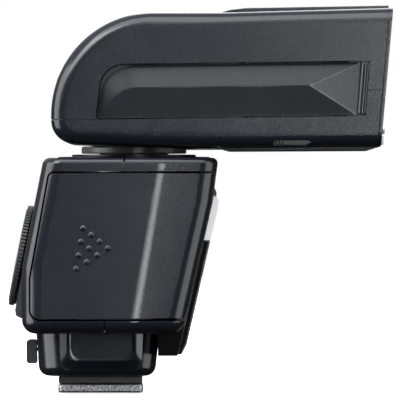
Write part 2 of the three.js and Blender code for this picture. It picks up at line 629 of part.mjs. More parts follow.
function buildFlashOptics(parent) {
  const faceWindow = box(-27, 27, 50, 80, 60.9, 80.9);
  const cardWay = box(-25, 25, 50, 80, 54.6, 58.7);
  const bezel = cut(headSolid(0).intersect(behindLens(0, BEZEL)), faceWindow, cardWay);
  addPart(parent, 'lens_bezel', bezel, plastic(SHELL, 0.35));
  const lens = behindLens(BEZEL + GAP, BEZEL + GAP + 1.5, LENS_HALF, ...LENS_BAND);
  addPart(parent, 'fresnel_lens', lens, plastic(CLEAR, 0.05));
}

function buildCards(wide, bounce) {
  const tab = (z0, z1) => box(-TAB_HALF, TAB_HALF, lensFront(z0) + 0.5, lensFront(z0) + 1.1, z0, z1);
  const neck = ([z0, z1], reach) => box(-TAB_HALF, TAB_HALF, 58, lensFront(z0) + reach, z0, z1);
  const sheet = ([z0, z1]) => box(-CARD_HALF, CARD_HALF, 20, lensFront(z0) - 0.25, z0, z1);
  const [wideLow, wideTop] = WIDE_PANEL_BAND;
  const widePanel = join(sheet(WIDE_PANEL_BAND), neck(WIDE_PANEL_BAND, 0.7), tab(wideLow - 0.4, wideTop));
  addPart(wide, 'wide_panel', widePanel, plastic(CLEAR, 0.1));
  const [bounceLow, bounceTop] = BOUNCE_CARD_BAND;
  const card = join(sheet(BOUNCE_CARD_BAND), neck(BOUNCE_CARD_BAND, 0.7), tab(bounceLow - 1.4, bounceTop));
  addPart(bounce, 'bounce_card', card, plastic(CARD_WHITE, 0.5));
}

function buildHeadInside(parent) {
  const rails = [-1, 1].map((side) => box(side * 25.6 - 0.9, side * 25.6 + 0.9, 22, 56, 56.2, 59));
  addPart(parent, 'panel_tray', join(box(-26.5, 26.5, 20, 58.8, 58.8, 59.4), ...rails), plastic(BLACK));
  addPart(parent, 'head_board', box(-25, 25, 14.5, 31, 60.0, 61.4), plastic(BOARD));
  addPart(parent, 'main_capacitor', crossRod([22.5, 71.2], -26, 18.5, 8, 32), plastic(SLEEVE, 0.3));
  addPart(parent, 'zoom_motor', lengthwise(SCREW, 18, 29.6, 3.1, 24), metal(STEEL));
  addPart(parent, 'guide_rod_left', lengthwise(GUIDES[0], 32, 58.5, 0.9, 12), metal(STEEL));
  addPart(parent, 'guide_rod_right', lengthwise(GUIDES[1], 32, 58.5, 0.9, 12), metal(STEEL));
}

// A reflector's side profile: a parabola about the flash tube's height, moved back by `grow`.
function parabola(grow) {
  const steps = 12;
  return Array.from({ length: steps + 1 }, (_, i) => {
    const rise = FOCUS.half * ((2 * i) / steps - 1);
    const stretch = 1 + grow / FOCUS.half;
    return [FOCUS.forward - grow + FOCUS.curve * rise * rise, FOCUS.up + rise * stretch];
  });
}

function buildZoom(carriage, screw) {
  addPart(screw, 'lead_screw', lengthwise(SCREW, 30, 58.5, 1.1, 12), metal(STEEL));

  const back = box(-26, 26, CARRIAGE_BACK, CARRIAGE_BACK + 1.2, 62, 79);
  const ears = [-1, 1].map((side) => box(side * 24.4 - 1.9, side * 24.4 + 1.9, CARRIAGE_BACK, 40, 62, 79));
  const guideBores = GUIDES.map((guide) => lengthwise(guide, 20, 70, 1.2, 16));
  const bores = [lengthwise(SCREW, 20, 70, 1.4, 16), ...guideBores];
  addPart(carriage, 'zoom_carriage', cut(join(back, ...ears), ...bores), plastic(BLACK));

  const bowl = acrossWidth([...parabola(0), ...parabola(0.6).reverse()], -21.8, 21.8);
  addPart(carriage, 'reflector', bowl, metal(MIRROR, 0.08));
  const tube = crossRod([FOCUS.forward + 4, FOCUS.up], -22.1, 22.1, 1.5, 16);
  addPart(carriage, 'flash_tube', tube, plastic(CLEAR, 0.02));
}

// ---- Assembly ----

const flash = new THREE.Group();
const base = new THREE.Group();
const swivel = new THREE.Group();
const head = new THREE.Group();
flash.add(base, swivel);
swivel.add(head);

buildFoot(base);
buildShoeLock(base);
buildShells(base);
buildFrontPanel(base);
buildRearPanel(base);
buildDial(base, 'mode_dial', -DIAL_X);
buildDial(base, 'level_dial', DIAL_X);
buildButtons(base);
buildPower(base);
buildDoor(base, base);
buildSwivelRing(base);
buildNeck(swivel);
buildHeadShells(head);
buildHeadTrim(head);
buildFlashOptics(head);
buildCards(head, head);
buildHeadInside(head);
buildZoom(head, head);

export default flash;
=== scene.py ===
# %% [markdown]
# # A compact speedlight flash
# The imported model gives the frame: every piece's place, every joint and every size. This lesson gives
# each visible piece its fine surface and its finish, and lights it like a catalogue picture. Lengths are
# written in millimetres and turned into Blender's metres by one helper.

# %% Load the frame
import math
import bmesh
import bpy
from mathutils import Matrix, Vector


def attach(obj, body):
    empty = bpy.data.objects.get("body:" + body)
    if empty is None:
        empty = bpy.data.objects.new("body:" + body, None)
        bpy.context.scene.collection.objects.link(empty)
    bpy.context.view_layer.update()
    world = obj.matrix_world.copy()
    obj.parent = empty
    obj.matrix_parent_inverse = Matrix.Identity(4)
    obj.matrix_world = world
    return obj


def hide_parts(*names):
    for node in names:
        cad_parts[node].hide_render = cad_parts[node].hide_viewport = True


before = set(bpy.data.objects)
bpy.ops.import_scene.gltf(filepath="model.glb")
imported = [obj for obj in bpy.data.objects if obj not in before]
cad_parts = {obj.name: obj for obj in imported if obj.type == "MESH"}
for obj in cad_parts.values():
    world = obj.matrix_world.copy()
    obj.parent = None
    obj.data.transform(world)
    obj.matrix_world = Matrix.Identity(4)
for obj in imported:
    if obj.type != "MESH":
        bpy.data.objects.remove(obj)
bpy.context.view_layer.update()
MM = 0.001

# %% [markdown]
# ## Camera
# A long lens keeps the side view almost flat, as product pictures are. The camera looks along +X from far
# away, so the flash's right side fills the picture and the lens end points to the right.

# %% Camera
VIEW_WIDTH = 88.56
VIEW_CENTRE = (-21.92, 42.46)
CAMERA_DISTANCE = 2000
camera_data = bpy.data.cameras.new("Camera")
camera_data.sensor_width = 36
camera_data.lens = camera_data.sensor_width * CAMERA_DISTANCE / VIEW_WIDTH
camera_data.clip_end = 20
camera = bpy.data.objects.new("Camera", camera_data)
camera.location = (-CAMERA_DISTANCE * MM, VIEW_CENTRE[0] * MM, VIEW_CENTRE[1] * MM)
camera.rotation_euler = (math.radians(90), 0, math.radians(-90))
bpy.context.collection.objects.link(camera)
bpy.context.scene.camera = camera
print("lens:", round(camera_data.lens), "mm")

# %% [markdown]
# ## Studio
# A white surround only for the camera, and a darker one for the light itself: charcoal plastic stays
# dark, and its round edges pick up the soft boxes as bright bands. The floor is seen but throws no light
# back up.

# %% Floor and soft boxes
bpy.context.scene.view_settings.view_transform = "Standard"


def studio_floor():
    mesh = bpy.data.meshes.new("floor")
    half, level = 3.0, -0.0003
    mesh.from_pydata([(-half, -half, level), (half, -half, level), (half, half, level), (-half, half, level)],
                     [], [(0, 1, 2, 3)])
    floor = bpy.data.objects.new("floor", mesh)
    bpy.context.collection.objects.link(floor)
    material = bpy.data.materials.new("Pale floor")
    material.use_nodes = True
    shader = material.node_tree.nodes["Principled BSDF"]
    shader.inputs["Base Color"].default_value = (0.93, 0.93, 0.93, 1)
    shader.inputs["Roughness"].default_value = 0.9
    shader.inputs["Specular IOR Level"].default_value = 0.0
    shader.inputs["Emission Color"].default_value = (1, 1, 1, 1)
    shader.inputs["Emission Strength"].default_value = 0.8
    mesh.materials.append(material)
    floor.visible_glossy = False
    floor.visible_diffuse = False


def soft_box(name, spot, aim, width, height, power):
    light = bpy.data.lights.new(name, "AREA")
    light.shape = "RECTANGLE"
    light.size, light.size_y = width, height
    light.energy = power
    lamp = bpy.data.objects.new(name, light)
    lamp.location = spot
    lamp.rotation_euler = (Vector(aim) - Vector(spot)).to_track_quat("-Z", "Y").to_euler()
    lamp.visible_camera = False
    bpy.context.collection.objects.link(lamp)
    return lamp


studio_floor()
MIDDLE = (0, -0.02, 0.045)
# Each row: name, place, width, height and power.
SOFT_BOXES = [
    ("Top box", (-0.4, -0.02, 0.85), 1.4, 0.7, 11),
    ("Front box", (-0.28, -0.9, 0.1), 0.75, 1.0, 5.5),
    ("Back box", (-0.22, 0.92, 0.12), 0.8, 1.0, 10),
    ("Corner box", (-0.55, 0.5, 0.6), 0.5, 0.5, 5),
    ("Strip box", (-1.5, -0.25, 0.05), 0.13, 0.75, 5.2),
    ("Wide box", (-1.2, -0.3, 0.75), 0.9, 0.35, 1.5),
    ("Far box", (0.9, -0.3, 0.5), 0.8, 0.8, 5),
]
for name, spot, width, height, power in SOFT_BOXES:
    soft_box(name, spot, MIDDLE, width, height, power)
print("lights:", len(SOFT_BOXES))

# %% Surround
world = bpy.data.worlds.new("Studio")
world.use_nodes = True
bpy.context.scene.world = world
nodes, links = world.node_tree.nodes, world.node_tree.links
nodes.clear()
direction = nodes.new("ShaderNodeTexCoord")
split = nodes.new("ShaderNodeSeparateXYZ")
ramp = nodes.new("ShaderNodeValToRGB")
seen = nodes.new("ShaderNodeBackground")
lit = nodes.new("ShaderNodeBackground")
path = nodes.new("ShaderNodeLightPath")
mix = nodes.new("ShaderNodeMixShader")
out = nodes.new("ShaderNodeOutputWorld")
ramp.color_ramp.elements[0].position = 0.48
ramp.color_ramp.elements[0].color = (0.03, 0.03, 0.032, 1)
ramp.color_ramp.elements[1].position = 0.75
ramp.color_ramp.elements[1].color = (0.55, 0.56, 0.58, 1)
half_up = nodes.new("ShaderNodeMath")
half_up.operation = "MULTIPLY_ADD"
half_up.inputs[1].default_value = 0.5
half_up.inputs[2].default_value = 0.5
links.new(direction.outputs["Generated"], split.inputs[0])
links.new(split.outputs["Z"], half_up.inputs[0])
links.new(half_up.outputs[0], ramp.inputs[0])
links.new(ramp.outputs[0], lit.inputs["Color"])
links.new(path.outputs["Is Camera Ray"], mix.inputs[0])
links.new(lit.outputs[0], mix.inputs[1])
links.new(seen.outputs[0], mix.inputs[2])
links.new(mix.outputs[0], out.inputs["Surface"])
seen.inputs["Color"].default_value = (1, 1, 1, 1)
print("surround:", world.name)

# %% [markdown]
# ## Finishes
# Moulded plastic is never one flat colour: the mould leaves a fine grain, and handling leaves a faint
# unevenness in its shine. Both effects serve many finishes, so each is built once as a shader group with
# named inputs.

# %% Shared effects


def shader_group(name, inputs, outputs):
    group = bpy.data.node_groups.new(name, "ShaderNodeTree")
    for label, value in inputs:
        socket = group.interface.new_socket(label, in_out="INPUT", socket_type="NodeSocketFloat")
        socket.default_value = value
    for label in outputs:
        group.interface.new_socket(label, in_out="OUTPUT", socket_type="NodeSocketFloat")
    start = group.nodes.new("NodeGroupInput")
    end = group.nodes.new("NodeGroupOutput")
    return group, start, end


def noise_in(group, scale, detail=2.0, stretch=None):
    place = group.nodes.new("ShaderNodeTexCoord")
    noise = group.nodes.new("ShaderNodeTexNoise")
    noise.inputs["Detail"].default_value = detail
    source = place.outputs["Object"]
    if stretch is not None:
        turn = group.nodes.new("ShaderNodeMapping")
        turn.inputs["Scale"].default_value = stretch
        group.links.new(source, turn.inputs["Vector"])
        source = turn.outputs["Vector"]
    group.links.new(source, noise.inputs["Vector"])
    group.links.new(scale, noise.inputs["Scale"])
    return noise.outputs["Fac"]


def spread(group, value):
    """Stretches a noise's middle range, where nearly all its values lie, to the whole of 0 to 1."""
    node = group.nodes.new("ShaderNodeMapRange")
    node.inputs["From Min"].default_value = 0.3
    node.inputs["From Max"].default_value = 0.7
    group.links.new(value, node.inputs["Value"])
    return node.outputs[0]


CLOUD_SHARE = 0.35


def build_moulded_grain():
    group, start, end = shader_group("Moulded grain", [("Grain Scale", 4000.0), ("Cloud Scale", 60.0)],
                                     ["Height", "Cloud"])
    group.links.new(noise_in(group, start.outputs["Grain Scale"], 3.0), end.inputs["Height"])
    cloud = noise_in(group, start.outputs["Cloud Scale"], 4.0)
    speckle = noise_in(group, start.outputs["Grain Scale"], 1.0, (1.3, 1.3, 1.3))
    share = group.nodes.new("ShaderNodeMath")
    share.operation = "MULTIPLY_ADD"
    share.inputs[1].default_value = CLOUD_SHARE
    group.links.new(cloud, share.inputs[0])
    rest = group.nodes.new("ShaderNodeMath")
    rest.operation = "MULTIPLY"
    rest.inputs[1].default_value = 1 - CLOUD_SHARE
    group.links.new(speckle, rest.inputs[0])
    group.links.new(rest.outputs[0], share.inputs[2])
    group.links.new(spread(group, share.outputs[0]), end.inputs["Cloud"])
    return group


def build_brushed_grain():
    group, start, end = shader_group("Brushed grain", [("Grain Scale", 900.0), ("Cloud Scale", 200.0)],
                                     ["Height", "Cloud"])
    fine = noise_in(group, start.outputs["Grain Scale"], 4.0, (1.0, 0.35, 1.0))
    group.links.new(fine, end.inputs["Height"])
    cloud = noise_in(group, start.outputs["Cloud Scale"], 3.0)
    group.links.new(spread(group, cloud), end.inputs["Cloud"])
    return group


MOULDED = build_moulded_grain()
BRUSHED = build_brushed_grain()
print("shader groups:", MOULDED.name, "and", BRUSHED.name)

# %% Finish builder


def finish(name, colour, roughness, group=MOULDED, grain=4000, cloud=60, bump=0.15, depth=0.03, tint=0.25,
           rough_swing=0.06, **sockets):
    """A finish whose colour, shine and surface vary a little, from one shared effect."""
    material = bpy.data.materials.new(name)
    material.use_nodes = True
    nodes, links = material.node_tree.nodes, material.node_tree.links
    shader = nodes["Principled BSDF"]
    effect = nodes.new("ShaderNodeGroup")
    effect.node_tree = group
    effect.inputs["Grain Scale"].default_value = grain
    effect.inputs["Cloud Scale"].default_value = cloud
    blend = nodes.new("ShaderNodeMix")
    blend.data_type = "RGBA"
    blend.inputs["A"].default_value = (*[c * (1 - tint) for c in colour], 1)
    blend.inputs["B"].default_value = (*[min(c * (1 + tint), 1) for c in colour], 1)
    links.new(effect.outputs["Cloud"], blend.inputs["Factor"])
    links.new(blend.outputs["Result"], shader.inputs["Base Color"])
    shine = nodes.new("ShaderNodeMapRange")
    shine.inputs["To Min"].default_value = max(roughness - rough_swing, 0.01)
    shine.inputs["To Max"].default_value = roughness + rough_swing
    links.new(effect.outputs["Cloud"], shine.inputs["Value"])
    links.new(shine.outputs[0], shader.inputs["Roughness"])
    relief = nodes.new("ShaderNodeBump")
    relief.inputs["Strength"].default_value = bump
    relief.inputs["Distance"].default_value = depth * MM
    links.new(effect.outputs["Height"], relief.inputs["Height"])
    links.new(relief.outputs["Normal"], shader.inputs["Normal"])
    for socket, value in sockets.items():
        shader.inputs[socket.replace("_", " ")].default_value = value
    return material


FINISHES = {
    "shell": finish("Charcoal shell", (0.0092, 0.0125, 0.0175), 0.2, bump=0.2, rough_swing=0.03),
    "panel": finish("Satin side panel", (0.018, 0.0205, 0.0245), 0.26, bump=0.15, rough_swing=0.03),
    "dark": finish("Dark satin plastic", (0.012, 0.013, 0.015), 0.4, bump=0.3),
    "black": finish("Black plastic", (0.006, 0.0062, 0.007), 0.35, bump=0.2),
    "gloss": finish("Polished black window", (0.003, 0.003, 0.0034), 0.06, bump=0.02, rough_swing=0.02,
                    Coat_Weight=0.6, Coat_Roughness=0.03),
    "rubber": finish("Knurled rubber", (0.052, 0.053, 0.054), 0.5, bump=0.4, grain=2500),
    "steel": finish("Brushed steel", (0.56, 0.56, 0.58), 0.32, group=BRUSHED, bump=0.5, depth=0.02,
                    Metallic=1.0),
    # The turntable's lighter colour is a painted highlight for the light that falls on it from behind.
    "neck": finish("Neck plastic painted lighter", (0.075, 0.075, 0.08), 0.35, bump=0.2),
    # The frosted cover is white of its own; its faint glow is painted light, since the video light is not
    # lit.
    "milky_painted_glow": finish("Frosted cover with painted glow", (0.96, 0.97, 0.98), 0.2, bump=0.05, tint=0.0, rough_swing=0.02,
                    Transmission_Weight=0.1, IOR=1.45, Emission_Strength=0.16,
                    Emission_Color=(0.9, 0.94, 1.0, 1)),
    "foot": finish("Blasted foot metal", (0.33, 0.33, 0.34), 0.45, group=BRUSHED, grain=2800, cloud=2600,
                   bump=0.9, depth=0.12, tint=1.0, Metallic=1.0),
    "gold": finish("Gold plated contact", (0.83, 0.6, 0.24), 0.25, group=BRUSHED, bump=0.2, Metallic=1.0),
    "board": finish("Solder mask", (0.012, 0.09, 0.035), 0.3, bump=0.2, cloud=300, tint=0.3),
    "sleeve": finish("Cell sleeve", (0.05, 0.08, 0.11), 0.28, bump=0.05, tint=0.1, Coat_Weight=0.4),
    "shrink": finish("Capacitor sleeve", (0.008, 0.01, 0.016), 0.2, bump=0.05, Coat_Weight=0.5),
    "mirror": finish("Reflector metal", (0.86, 0.87, 0.88), 0.12, group=BRUSHED, bump=0.05, Metallic=1.0),
    "card": finish("White card", (0.66, 0.67, 0.68), 0.5, bump=0.1, tint=0.03),
    "clear": finish("Clear moulded plastic", (0.93, 0.95, 0.97), 0.06, bump=0.03, tint=0.02, rough_swing=0.02,
                    Transmission_Weight=1.0, IOR=1.49),
    "tube": finish("Flash tube glass", (0.97, 0.97, 0.96), 0.02, bump=0.0, tint=0.01, rough_swing=0.01,
                   Transmission_Weight=1.0, IOR=1.46),
    "light_mark": finish("Pale marking ink", (0.6, 0.6, 0.62), 0.5, bump=0.05, tint=0.05),
    "amber": finish("Amber lamp", (0.9, 0.35, 0.05), 0.2, bump=0.02, tint=0.05),
    "led": finish("Light diode", (0.85, 0.75, 0.25), 0.25, bump=0.02, tint=0.05),
}
print("finishes:", len(FINISHES))

# %% [markdown]
# ## Tools for shapes
# Most housings here are lofts: a rounded outline is drawn again and again, each time inset a little more
# near an edge, and skinned over. An inset that also tightens every corner keeps the same number of
# points, so the skin never twists.

# %% Outline and loft


def at(x, forward, up):
    """A point from millimetres: across, towards the lens end, and up."""
    return Vector((x, -forward, up)) * MM


def rounded_outline(corners, inset=0.0, steps=8):
    """Points round a closed outline of (x, y, radius) corners, moved in by inset."""
    count = len(corners)
    area = sum(corners[i][0] * corners[(i + 1) % count][1] - corners[(i + 1) % count][0] * corners[i][1]
               for i in range(count))
    side = math.copysign(1, area)
    points = []
    for i, (x, y, radius) in enumerate(corners):
        corner = Vector((x, y))
        into = (corner - Vector(corners[i - 1][:2])).normalized()
        out = (Vector(corners[(i + 1) % count][:2]) - corner).normalized()
        normal_in = Vector((-into.y, into.x)) * side
        normal_out = Vector((-out.y, out.x)) * side
        bisector = (normal_in + normal_out).normalized()
        half_turn = math.acos(max(-1.0, min(1.0, bisector.dot(normal_in))))
        tip = corner + bisector * (inset / math.cos(half_turn))
        if radius == 0:
            points.append(tip)
            continue
        left = max(radius - inset, 0.03)
        centre = tip + bisector * (left / math.cos(half_turn))
        start = math.atan2(-normal_in.y, -normal_in.x)
        arc = steps * 4 if radius > 20 else steps
        for step in range(arc + 1):
            angle = start + side * 2 * half_turn * step / arc
            points.append(centre + Vector((math.cos(angle), math.sin(angle))) * left)
    return points


def new_object(name, mesh):
    obj = bpy.data.objects.new(name, mesh)
    bpy.context.collection.objects.link(obj)
    return obj


def from_bmesh(name, bm):
    bmesh.ops.remove_doubles(bm, verts=bm.verts, dist=1e-7)
    bmesh.ops.recalc_face_normals(bm, faces=bm.faces)
    mesh = bpy.data.meshes.new(name)
    bm.to_mesh(mesh)
    bm.free()
    return new_object(name, mesh)


def loft(name, rings):
    """A skin over rings of points that all have the same count."""
    bm = bmesh.new()
    rows = [[bm.verts.new(point) for point in ring] for ring in rings]
    for lower, upper in zip(rows, rows[1:]):
        for i in range(len(lower)):
            j = (i + 1) % len(lower)
            bm.faces.new((lower[i], lower[j], upper[j], upper[i]))
    bm.faces.new(rows[0])
    bm.faces.new(rows[-1])
    return from_bmesh(name, bm)


def quarter_round(radius, steps=6):
    """(inset, rise) pairs from a flat face out to the side."""
    turns = [math.pi / 2 * i / steps for i in range(steps + 1)]
    return [(radius * (1 - math.sin(turn)), radius * (1 - math.cos(turn))) for turn in turns]


def across(name, profile, x0, x1):
    """A (forward, up) profile pushed across the width."""
    return loft(name, [[at(x, forward, up) for forward, up in profile] for x in (x0, x1)])


def block(name, x0, x1, forward0, forward1, z0, z1):
    profile = [(forward0, z0), (forward1, z0), (forward1, z1), (forward0, z1)]
    return across(name, profile, x0, x1)


def beside(side, near, far):
    """The two x values of a stretch on one side of the middle, smaller first."""
    return sorted((side * near, side * far))


def rod(name, start, end, radius, sides=48):
    """A straight round bar between two points in metres."""
    along = end - start
    turn = along.to_track_quat("Z", "Y").to_matrix()
    ring = [turn @ Vector((math.cos(a), math.sin(a), 0)) * radius * MM
            for a in (2 * math.pi * i / sides for i in range(sides))]
    return loft(name, [[start + p for p in ring], [end + p for p in ring]])


square = [(0, 0, 1), (5, 0, 1), (5, 5, 1), (0, 5, 1)]
print("loft of a rounded square has", len(rounded_outline(square)), "points a ring")

# %% [markdown]
# ## Cutting and finishing
# Pockets, slots and parting lines are cut with Boolean modifiers. A real moulding has no knife edges, so
# a small bevel follows each cut, and weighted normals keep the large faces flat while the bevel catches
# the light.

# %% Cut and finish


def freeze(obj):
    """Turns the object's modifiers into its mesh."""
    graph = bpy.context.evaluated_depsgraph_get()
    mesh = bpy.data.meshes.new_from_object(
        obj.evaluated_get(graph), preserve_all_data_layers=True, depsgraph=graph)
    obj.modifiers.clear()
    old = obj.data
    obj.data = mesh
    bpy.data.meshes.remove(old)
    return obj


def discard(*objects):
    for obj in objects:
        bpy.data.objects.remove(obj, do_unlink=True)


def carve(obj, *tools, operation="DIFFERENCE", keep=False):
    for tool in tools:
        cut = obj.modifiers.new("cut", "BOOLEAN")
        cut.operation = operation
        cut.solver = "MANIFOLD"
        cut.object = tool
    freeze(obj)
    if not keep:
        discard(*tools)
    return obj


def copy_of(obj, name):
    return new_object(name, obj.data.copy())


def soften(obj, width, angle=28, segments=3):
    """Rounds the sharp edges by width and keeps the flat faces flat."""
    if width:
        bm = bmesh.new()
        bm.from_mesh(obj.data)
        bmesh.ops.remove_doubles(bm, verts=bm.verts, dist=2e-6)
        bmesh.ops.dissolve_degenerate(bm, edges=bm.edges, dist=1e-6)
        bmesh.ops.dissolve_limit(bm, angle_limit=math.radians(0.5), verts=bm.verts, edges=bm.edges)
        bm.to_mesh(obj.data)
        bm.free()
        bevel = obj.modifiers.new("edges", "BEVEL")
        bevel.width = width * MM
        bevel.segments = segments
        bevel.limit_method = "ANGLE"
        bevel.angle_limit = math.radians(angle)
        bevel.harden_normals = False
        bevel.use_clamp_overlap = True
        freeze(obj)
    obj.data.shade_smooth()
    weigh = obj.modifiers.new("normals", "WEIGHTED_NORMAL")
    weigh.keep_sharp = False
    weigh.weight = 70
    return freeze(obj)


def place(obj, body, surface, *nodes, slot=None):
    """Gives a finished piece its body, its finish and the nodes that it stands for; slot is not used."""
    obj.data.materials.clear()
    obj.data.materials.append(FINISHES[surface])
    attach(obj, body)
    if nodes:
        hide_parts(*nodes)
    print(obj.name + ":", len(obj.data.polygons), "faces")
    return obj


def coat(surface, *names):
    """Gives carried-over CAD nodes their finish."""
    for name in names:
        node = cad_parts[name]
        if not node.material_slots:
            node.data.materials.append(FINISHES[surface])
        for material_slot in node.material_slots:
            material_slot.link = "OBJECT"
            material_slot.material = FINISHES[surface]


print("shape tools are ready")

# %% [markdown]
# ## Head housing
# The head is a box with one big round shoulder at the back, moulded as an upper and a lower half. Its
# outline is lofted across the width, with a quarter-round run-in on both sides, then the seam, the side
# recesses, the neck's slot and the lens opening are cut, as in the frame.

# %% Head outline
HEAD_HALF = 30.5
HEAD_FILLET = 3.2
HEAD_WALL = 1.7
HEAD_OUTLINE = [
    (-10.6, 54.9, 5.2), (20, 53.65, 0), (70, 54.2, 0), (70, 84.55, 0), (27, 83.4, 0), (-10.6, 83.4, 22.4),
]
LENS_FOOT = (61.4, 54.1)
LENS_SLOPE = math.tan(math.radians(5.1))
BEZEL = 0.6
GAP = 0.3
TILT = (-1, 66)
POCKET = [(-0.6, 60.3, 0.4), (56.1, 61.05, 0.4), (57.2, 72.55, 0.4), (0.9, 71.8, 5)]
POCKET_DEPTH = 3.1


def lens_front(z):
    return LENS_FOOT[0] + (z - LENS_FOOT[1]) * LENS_SLOPE


def head_ring(x, inset):
    return [at(x, *point) for point in rounded_outline(HEAD_OUTLINE, inset, 12)]


def head_solid(name, wall):
    half = HEAD_HALF - wall
    edge = quarter_round(HEAD_FILLET - wall / 2, 8)
    rings = [head_ring(-half + rise, wall + inset) for inset, rise in edge]
    rings += [head_ring(half - rise, wall + inset) for inset, rise in reversed(edge)]
    return loft(name, rings)


def behind_lens(name, near, far, half=40, z0=40, z1=100):
    profile = [(lens_front(z0) - far, z0), (lens_front(z0) - near, z0),
               (lens_front(z1) - near, z1), (lens_front(z1) - far, z1)]
    return across(name, profile, -half, half)


def cross_rod(name, centre, x0, x1, radius, sides=64):
    return rod(name, at(x0, *centre), at(x1, *centre), radius, sides)


def slab(name, corners, x0, x1, inset=0.0):
    return across(name, rounded_outline(corners, inset, 10), x0, x1)


print("head outline:", len(head_ring(0, 0)), "points")

# %% Neck slot and clip bars
SLOT_HALF = 12.2
DRUM_RADIUS = 9
SLOT_REACH = 14.6
CLIP_X, CLIP_FOOT, CLIP_LEAN, CLIP_RADIUS = 29.6, (57.2, 61), 0.08, 1.1
HEAD_SEAM = [(-20, 60), (-0.8, 60), (-0.6, 60.4), (58.4, 61.2), (58.6, 66.5), (80, 66.5)]


def neck_slot(grow):
    drum = cross_rod("drum cut", TILT, -SLOT_HALF - grow, SLOT_HALF + grow, DRUM_RADIUS + 0.4 + grow, 96)
    front = 7.9 + grow
    sweep = block("sweep cut", -SLOT_HALF - grow, SLOT_HALF + grow, -20, front, 45, 67.4 + grow)
    reach = cross_rod("reach cut", TILT, -20, 20, SLOT_REACH + grow, 96)
    carve(sweep, reach, operation="INTERSECT")
    return carve(drum, sweep, operation="UNION")


def clip_centre(side, up):
    return at(side * CLIP_X, CLIP_FOOT[0] + (up - CLIP_FOOT[1]) * CLIP_LEAN, up)


def seam_profile(offset, far_up):
    """All that lies between the head's parting line, moved up by offset, and a far height."""
    line = [(forward, up + offset) for forward, up in HEAD_SEAM]
    return [(line[0][0], far_up), *line, (line[-1][0], far_up)]


housing = neck_slot(1.4)
cavity = carve(head_solid("cavity", HEAD_WALL), housing)
head = carve(head_solid("head", 0), cavity, neck_slot(0),
             behind_lens("ahead", -20, BEZEL + GAP),
             block("table bay", -SLOT_HALF, SLOT_HALF, -20, 19.4, 50, 54.65),
             cross_rod("tilt hole", TILT, -20, 20, 2.3),
             block("cover seat", -26.3, 26.3, 26.5, 60.3, 50, 54.4))
for side in (-1, 1):
    edges = beside(side, HEAD_HALF - POCKET_DEPTH - GAP, 35)
    carve(head, slab("pocket", POCKET, *edges, inset=-GAP),
          rod("clip bay", clip_centre(side, 60.9), clip_centre(side, 72.7), 1.25, 48))
print("head before parting:", len(head.data.polygons), "faces")

# %% Upper and lower halves
upper = carve(copy_of(head, "head_upper_housing"), across("above", seam_profile(0.09, 100), -40, 40),
              operation="INTERSECT")
lower = carve(head, across("below", seam_profile(-0.09, 40), -40, 40), operation="INTERSECT")
lower.name = "head_lower_housing"
for half, node in ((upper, "head_upper_shell"), (lower, "head_lower_shell")):
    soften(half, 0.12)
    place(half, "head", "shell", node)

# %% Head tongue and catches
seam_band = seam_profile(0.8, 100)[1:-1] + list(reversed(seam_profile(-0.8, 100)[1:-1]))
tongue = carve(head_solid("head_tongue", 0.9), head_solid("inside", 1.6))
carve(tongue, across("band", seam_band, -40, 40), operation="INTERSECT")
carve(tongue, neck_slot(0), behind_lens("ahead", -20, BEZEL + GAP))
for side in (-1, 1):
    edges = beside(side, 20, 35)
    carve(tongue, slab("pocket", POCKET, *edges, inset=-GAP),
          rod("clip bay", clip_centre(side, 60.9), clip_centre(side, 72.7), 1.3, 48))
    backing = block("backing", *beside(side, 27.3, 28.2), 54.5, 59.6, 60.3, 73.2)
    carve(tongue, backing, operation="UNION")
place(tongue, "head", "black")
CATCH = [(37.9, 54.25, 0.3), (45.0, 54.25, 0.4), (46.4, 55.05, 0.2), (45.0, 55.85, 0.4), (37.9, 55.85, 0.3)]
for label, side in (("left", 1), ("right", -1)):
    outer = [[at(side * x, *point) for point in rounded_outline(CATCH, inset, 6)]
             for x, inset in ((27, 0), (29.75, 0), (29.95, 0.12), (30.02, 0.35))]
    catch = loft("card_catch_" + label, outer)
    for forward in (38.35, 39.15):
        carve(catch, block("groove", *beside(side, 29.7, 31), forward - 0.13, forward + 0.13, 53, 57))
    carve(catch, block("nick", *beside(side, 29.2, 31), 39.9, 40.1, 53, 57))
    soften(catch, 0.06)
    place(catch, "head", "dark")

# %% [markdown]
# ## Side panels
# A sculpted insert fills each recess: three slanted facets fall away from a ridge, like the hull of a
# boat. Its height is one rule, the smallest of three slopes measured from the edges of the recess, so the
# ridge and the corner where the facets meet come out by themselves on a fine grid of points.

# %% Side panel height
UPPER_SLOPE, LOWER_SLOPE, RIGHT_SLOPE = 0.263, 0.193, 0.118
PANEL_LIFT = 0.15
RECESS = 1.5
PANEL_BEND = 8.5
BEND_CENTRE = (8.3, 63.4)


def edge_distance(point, start, end):
    """How far a point lies to the left of the line from start to end."""
    along = Vector((end[0] - start[0], end[1] - start[1]))
    return (along.x * (point[1] - start[1]) - along.y * (point[0] - start[0])) / along.length


def panel_height(forward, up):
    """How high the insert stands above the deepest point of its edge."""
    corners = [corner[:2] for corner in POCKET]
    bottom = edge_distance((forward, up), corners[0], corners[1])
    right = edge_distance((forward, up), corners[1], corners[2])
    top = edge_distance((forward, up), corners[2], corners[3])
    ahead, above = forward - BEND_CENTRE[0], up - BEND_CENTRE[1]
    shoulder = top
    if ahead < 0 and above > 0:
        shoulder = PANEL_BEND - math.hypot(ahead, above)
    elif ahead < 0:
        shoulder = forward - POCKET[0][0] - (up - POCKET[0][1]) * 0.13
    return max(0.0, min(shoulder * UPPER_SLOPE, bottom * LOWER_SLOPE, right * RIGHT_SLOPE))


print("ridge heights:", round(panel_height(25, 67.3), 2), "and", round(panel_height(45, 67.3), 2), "mm")

# %% Side panels
PANEL_STEPS = (230, 60)


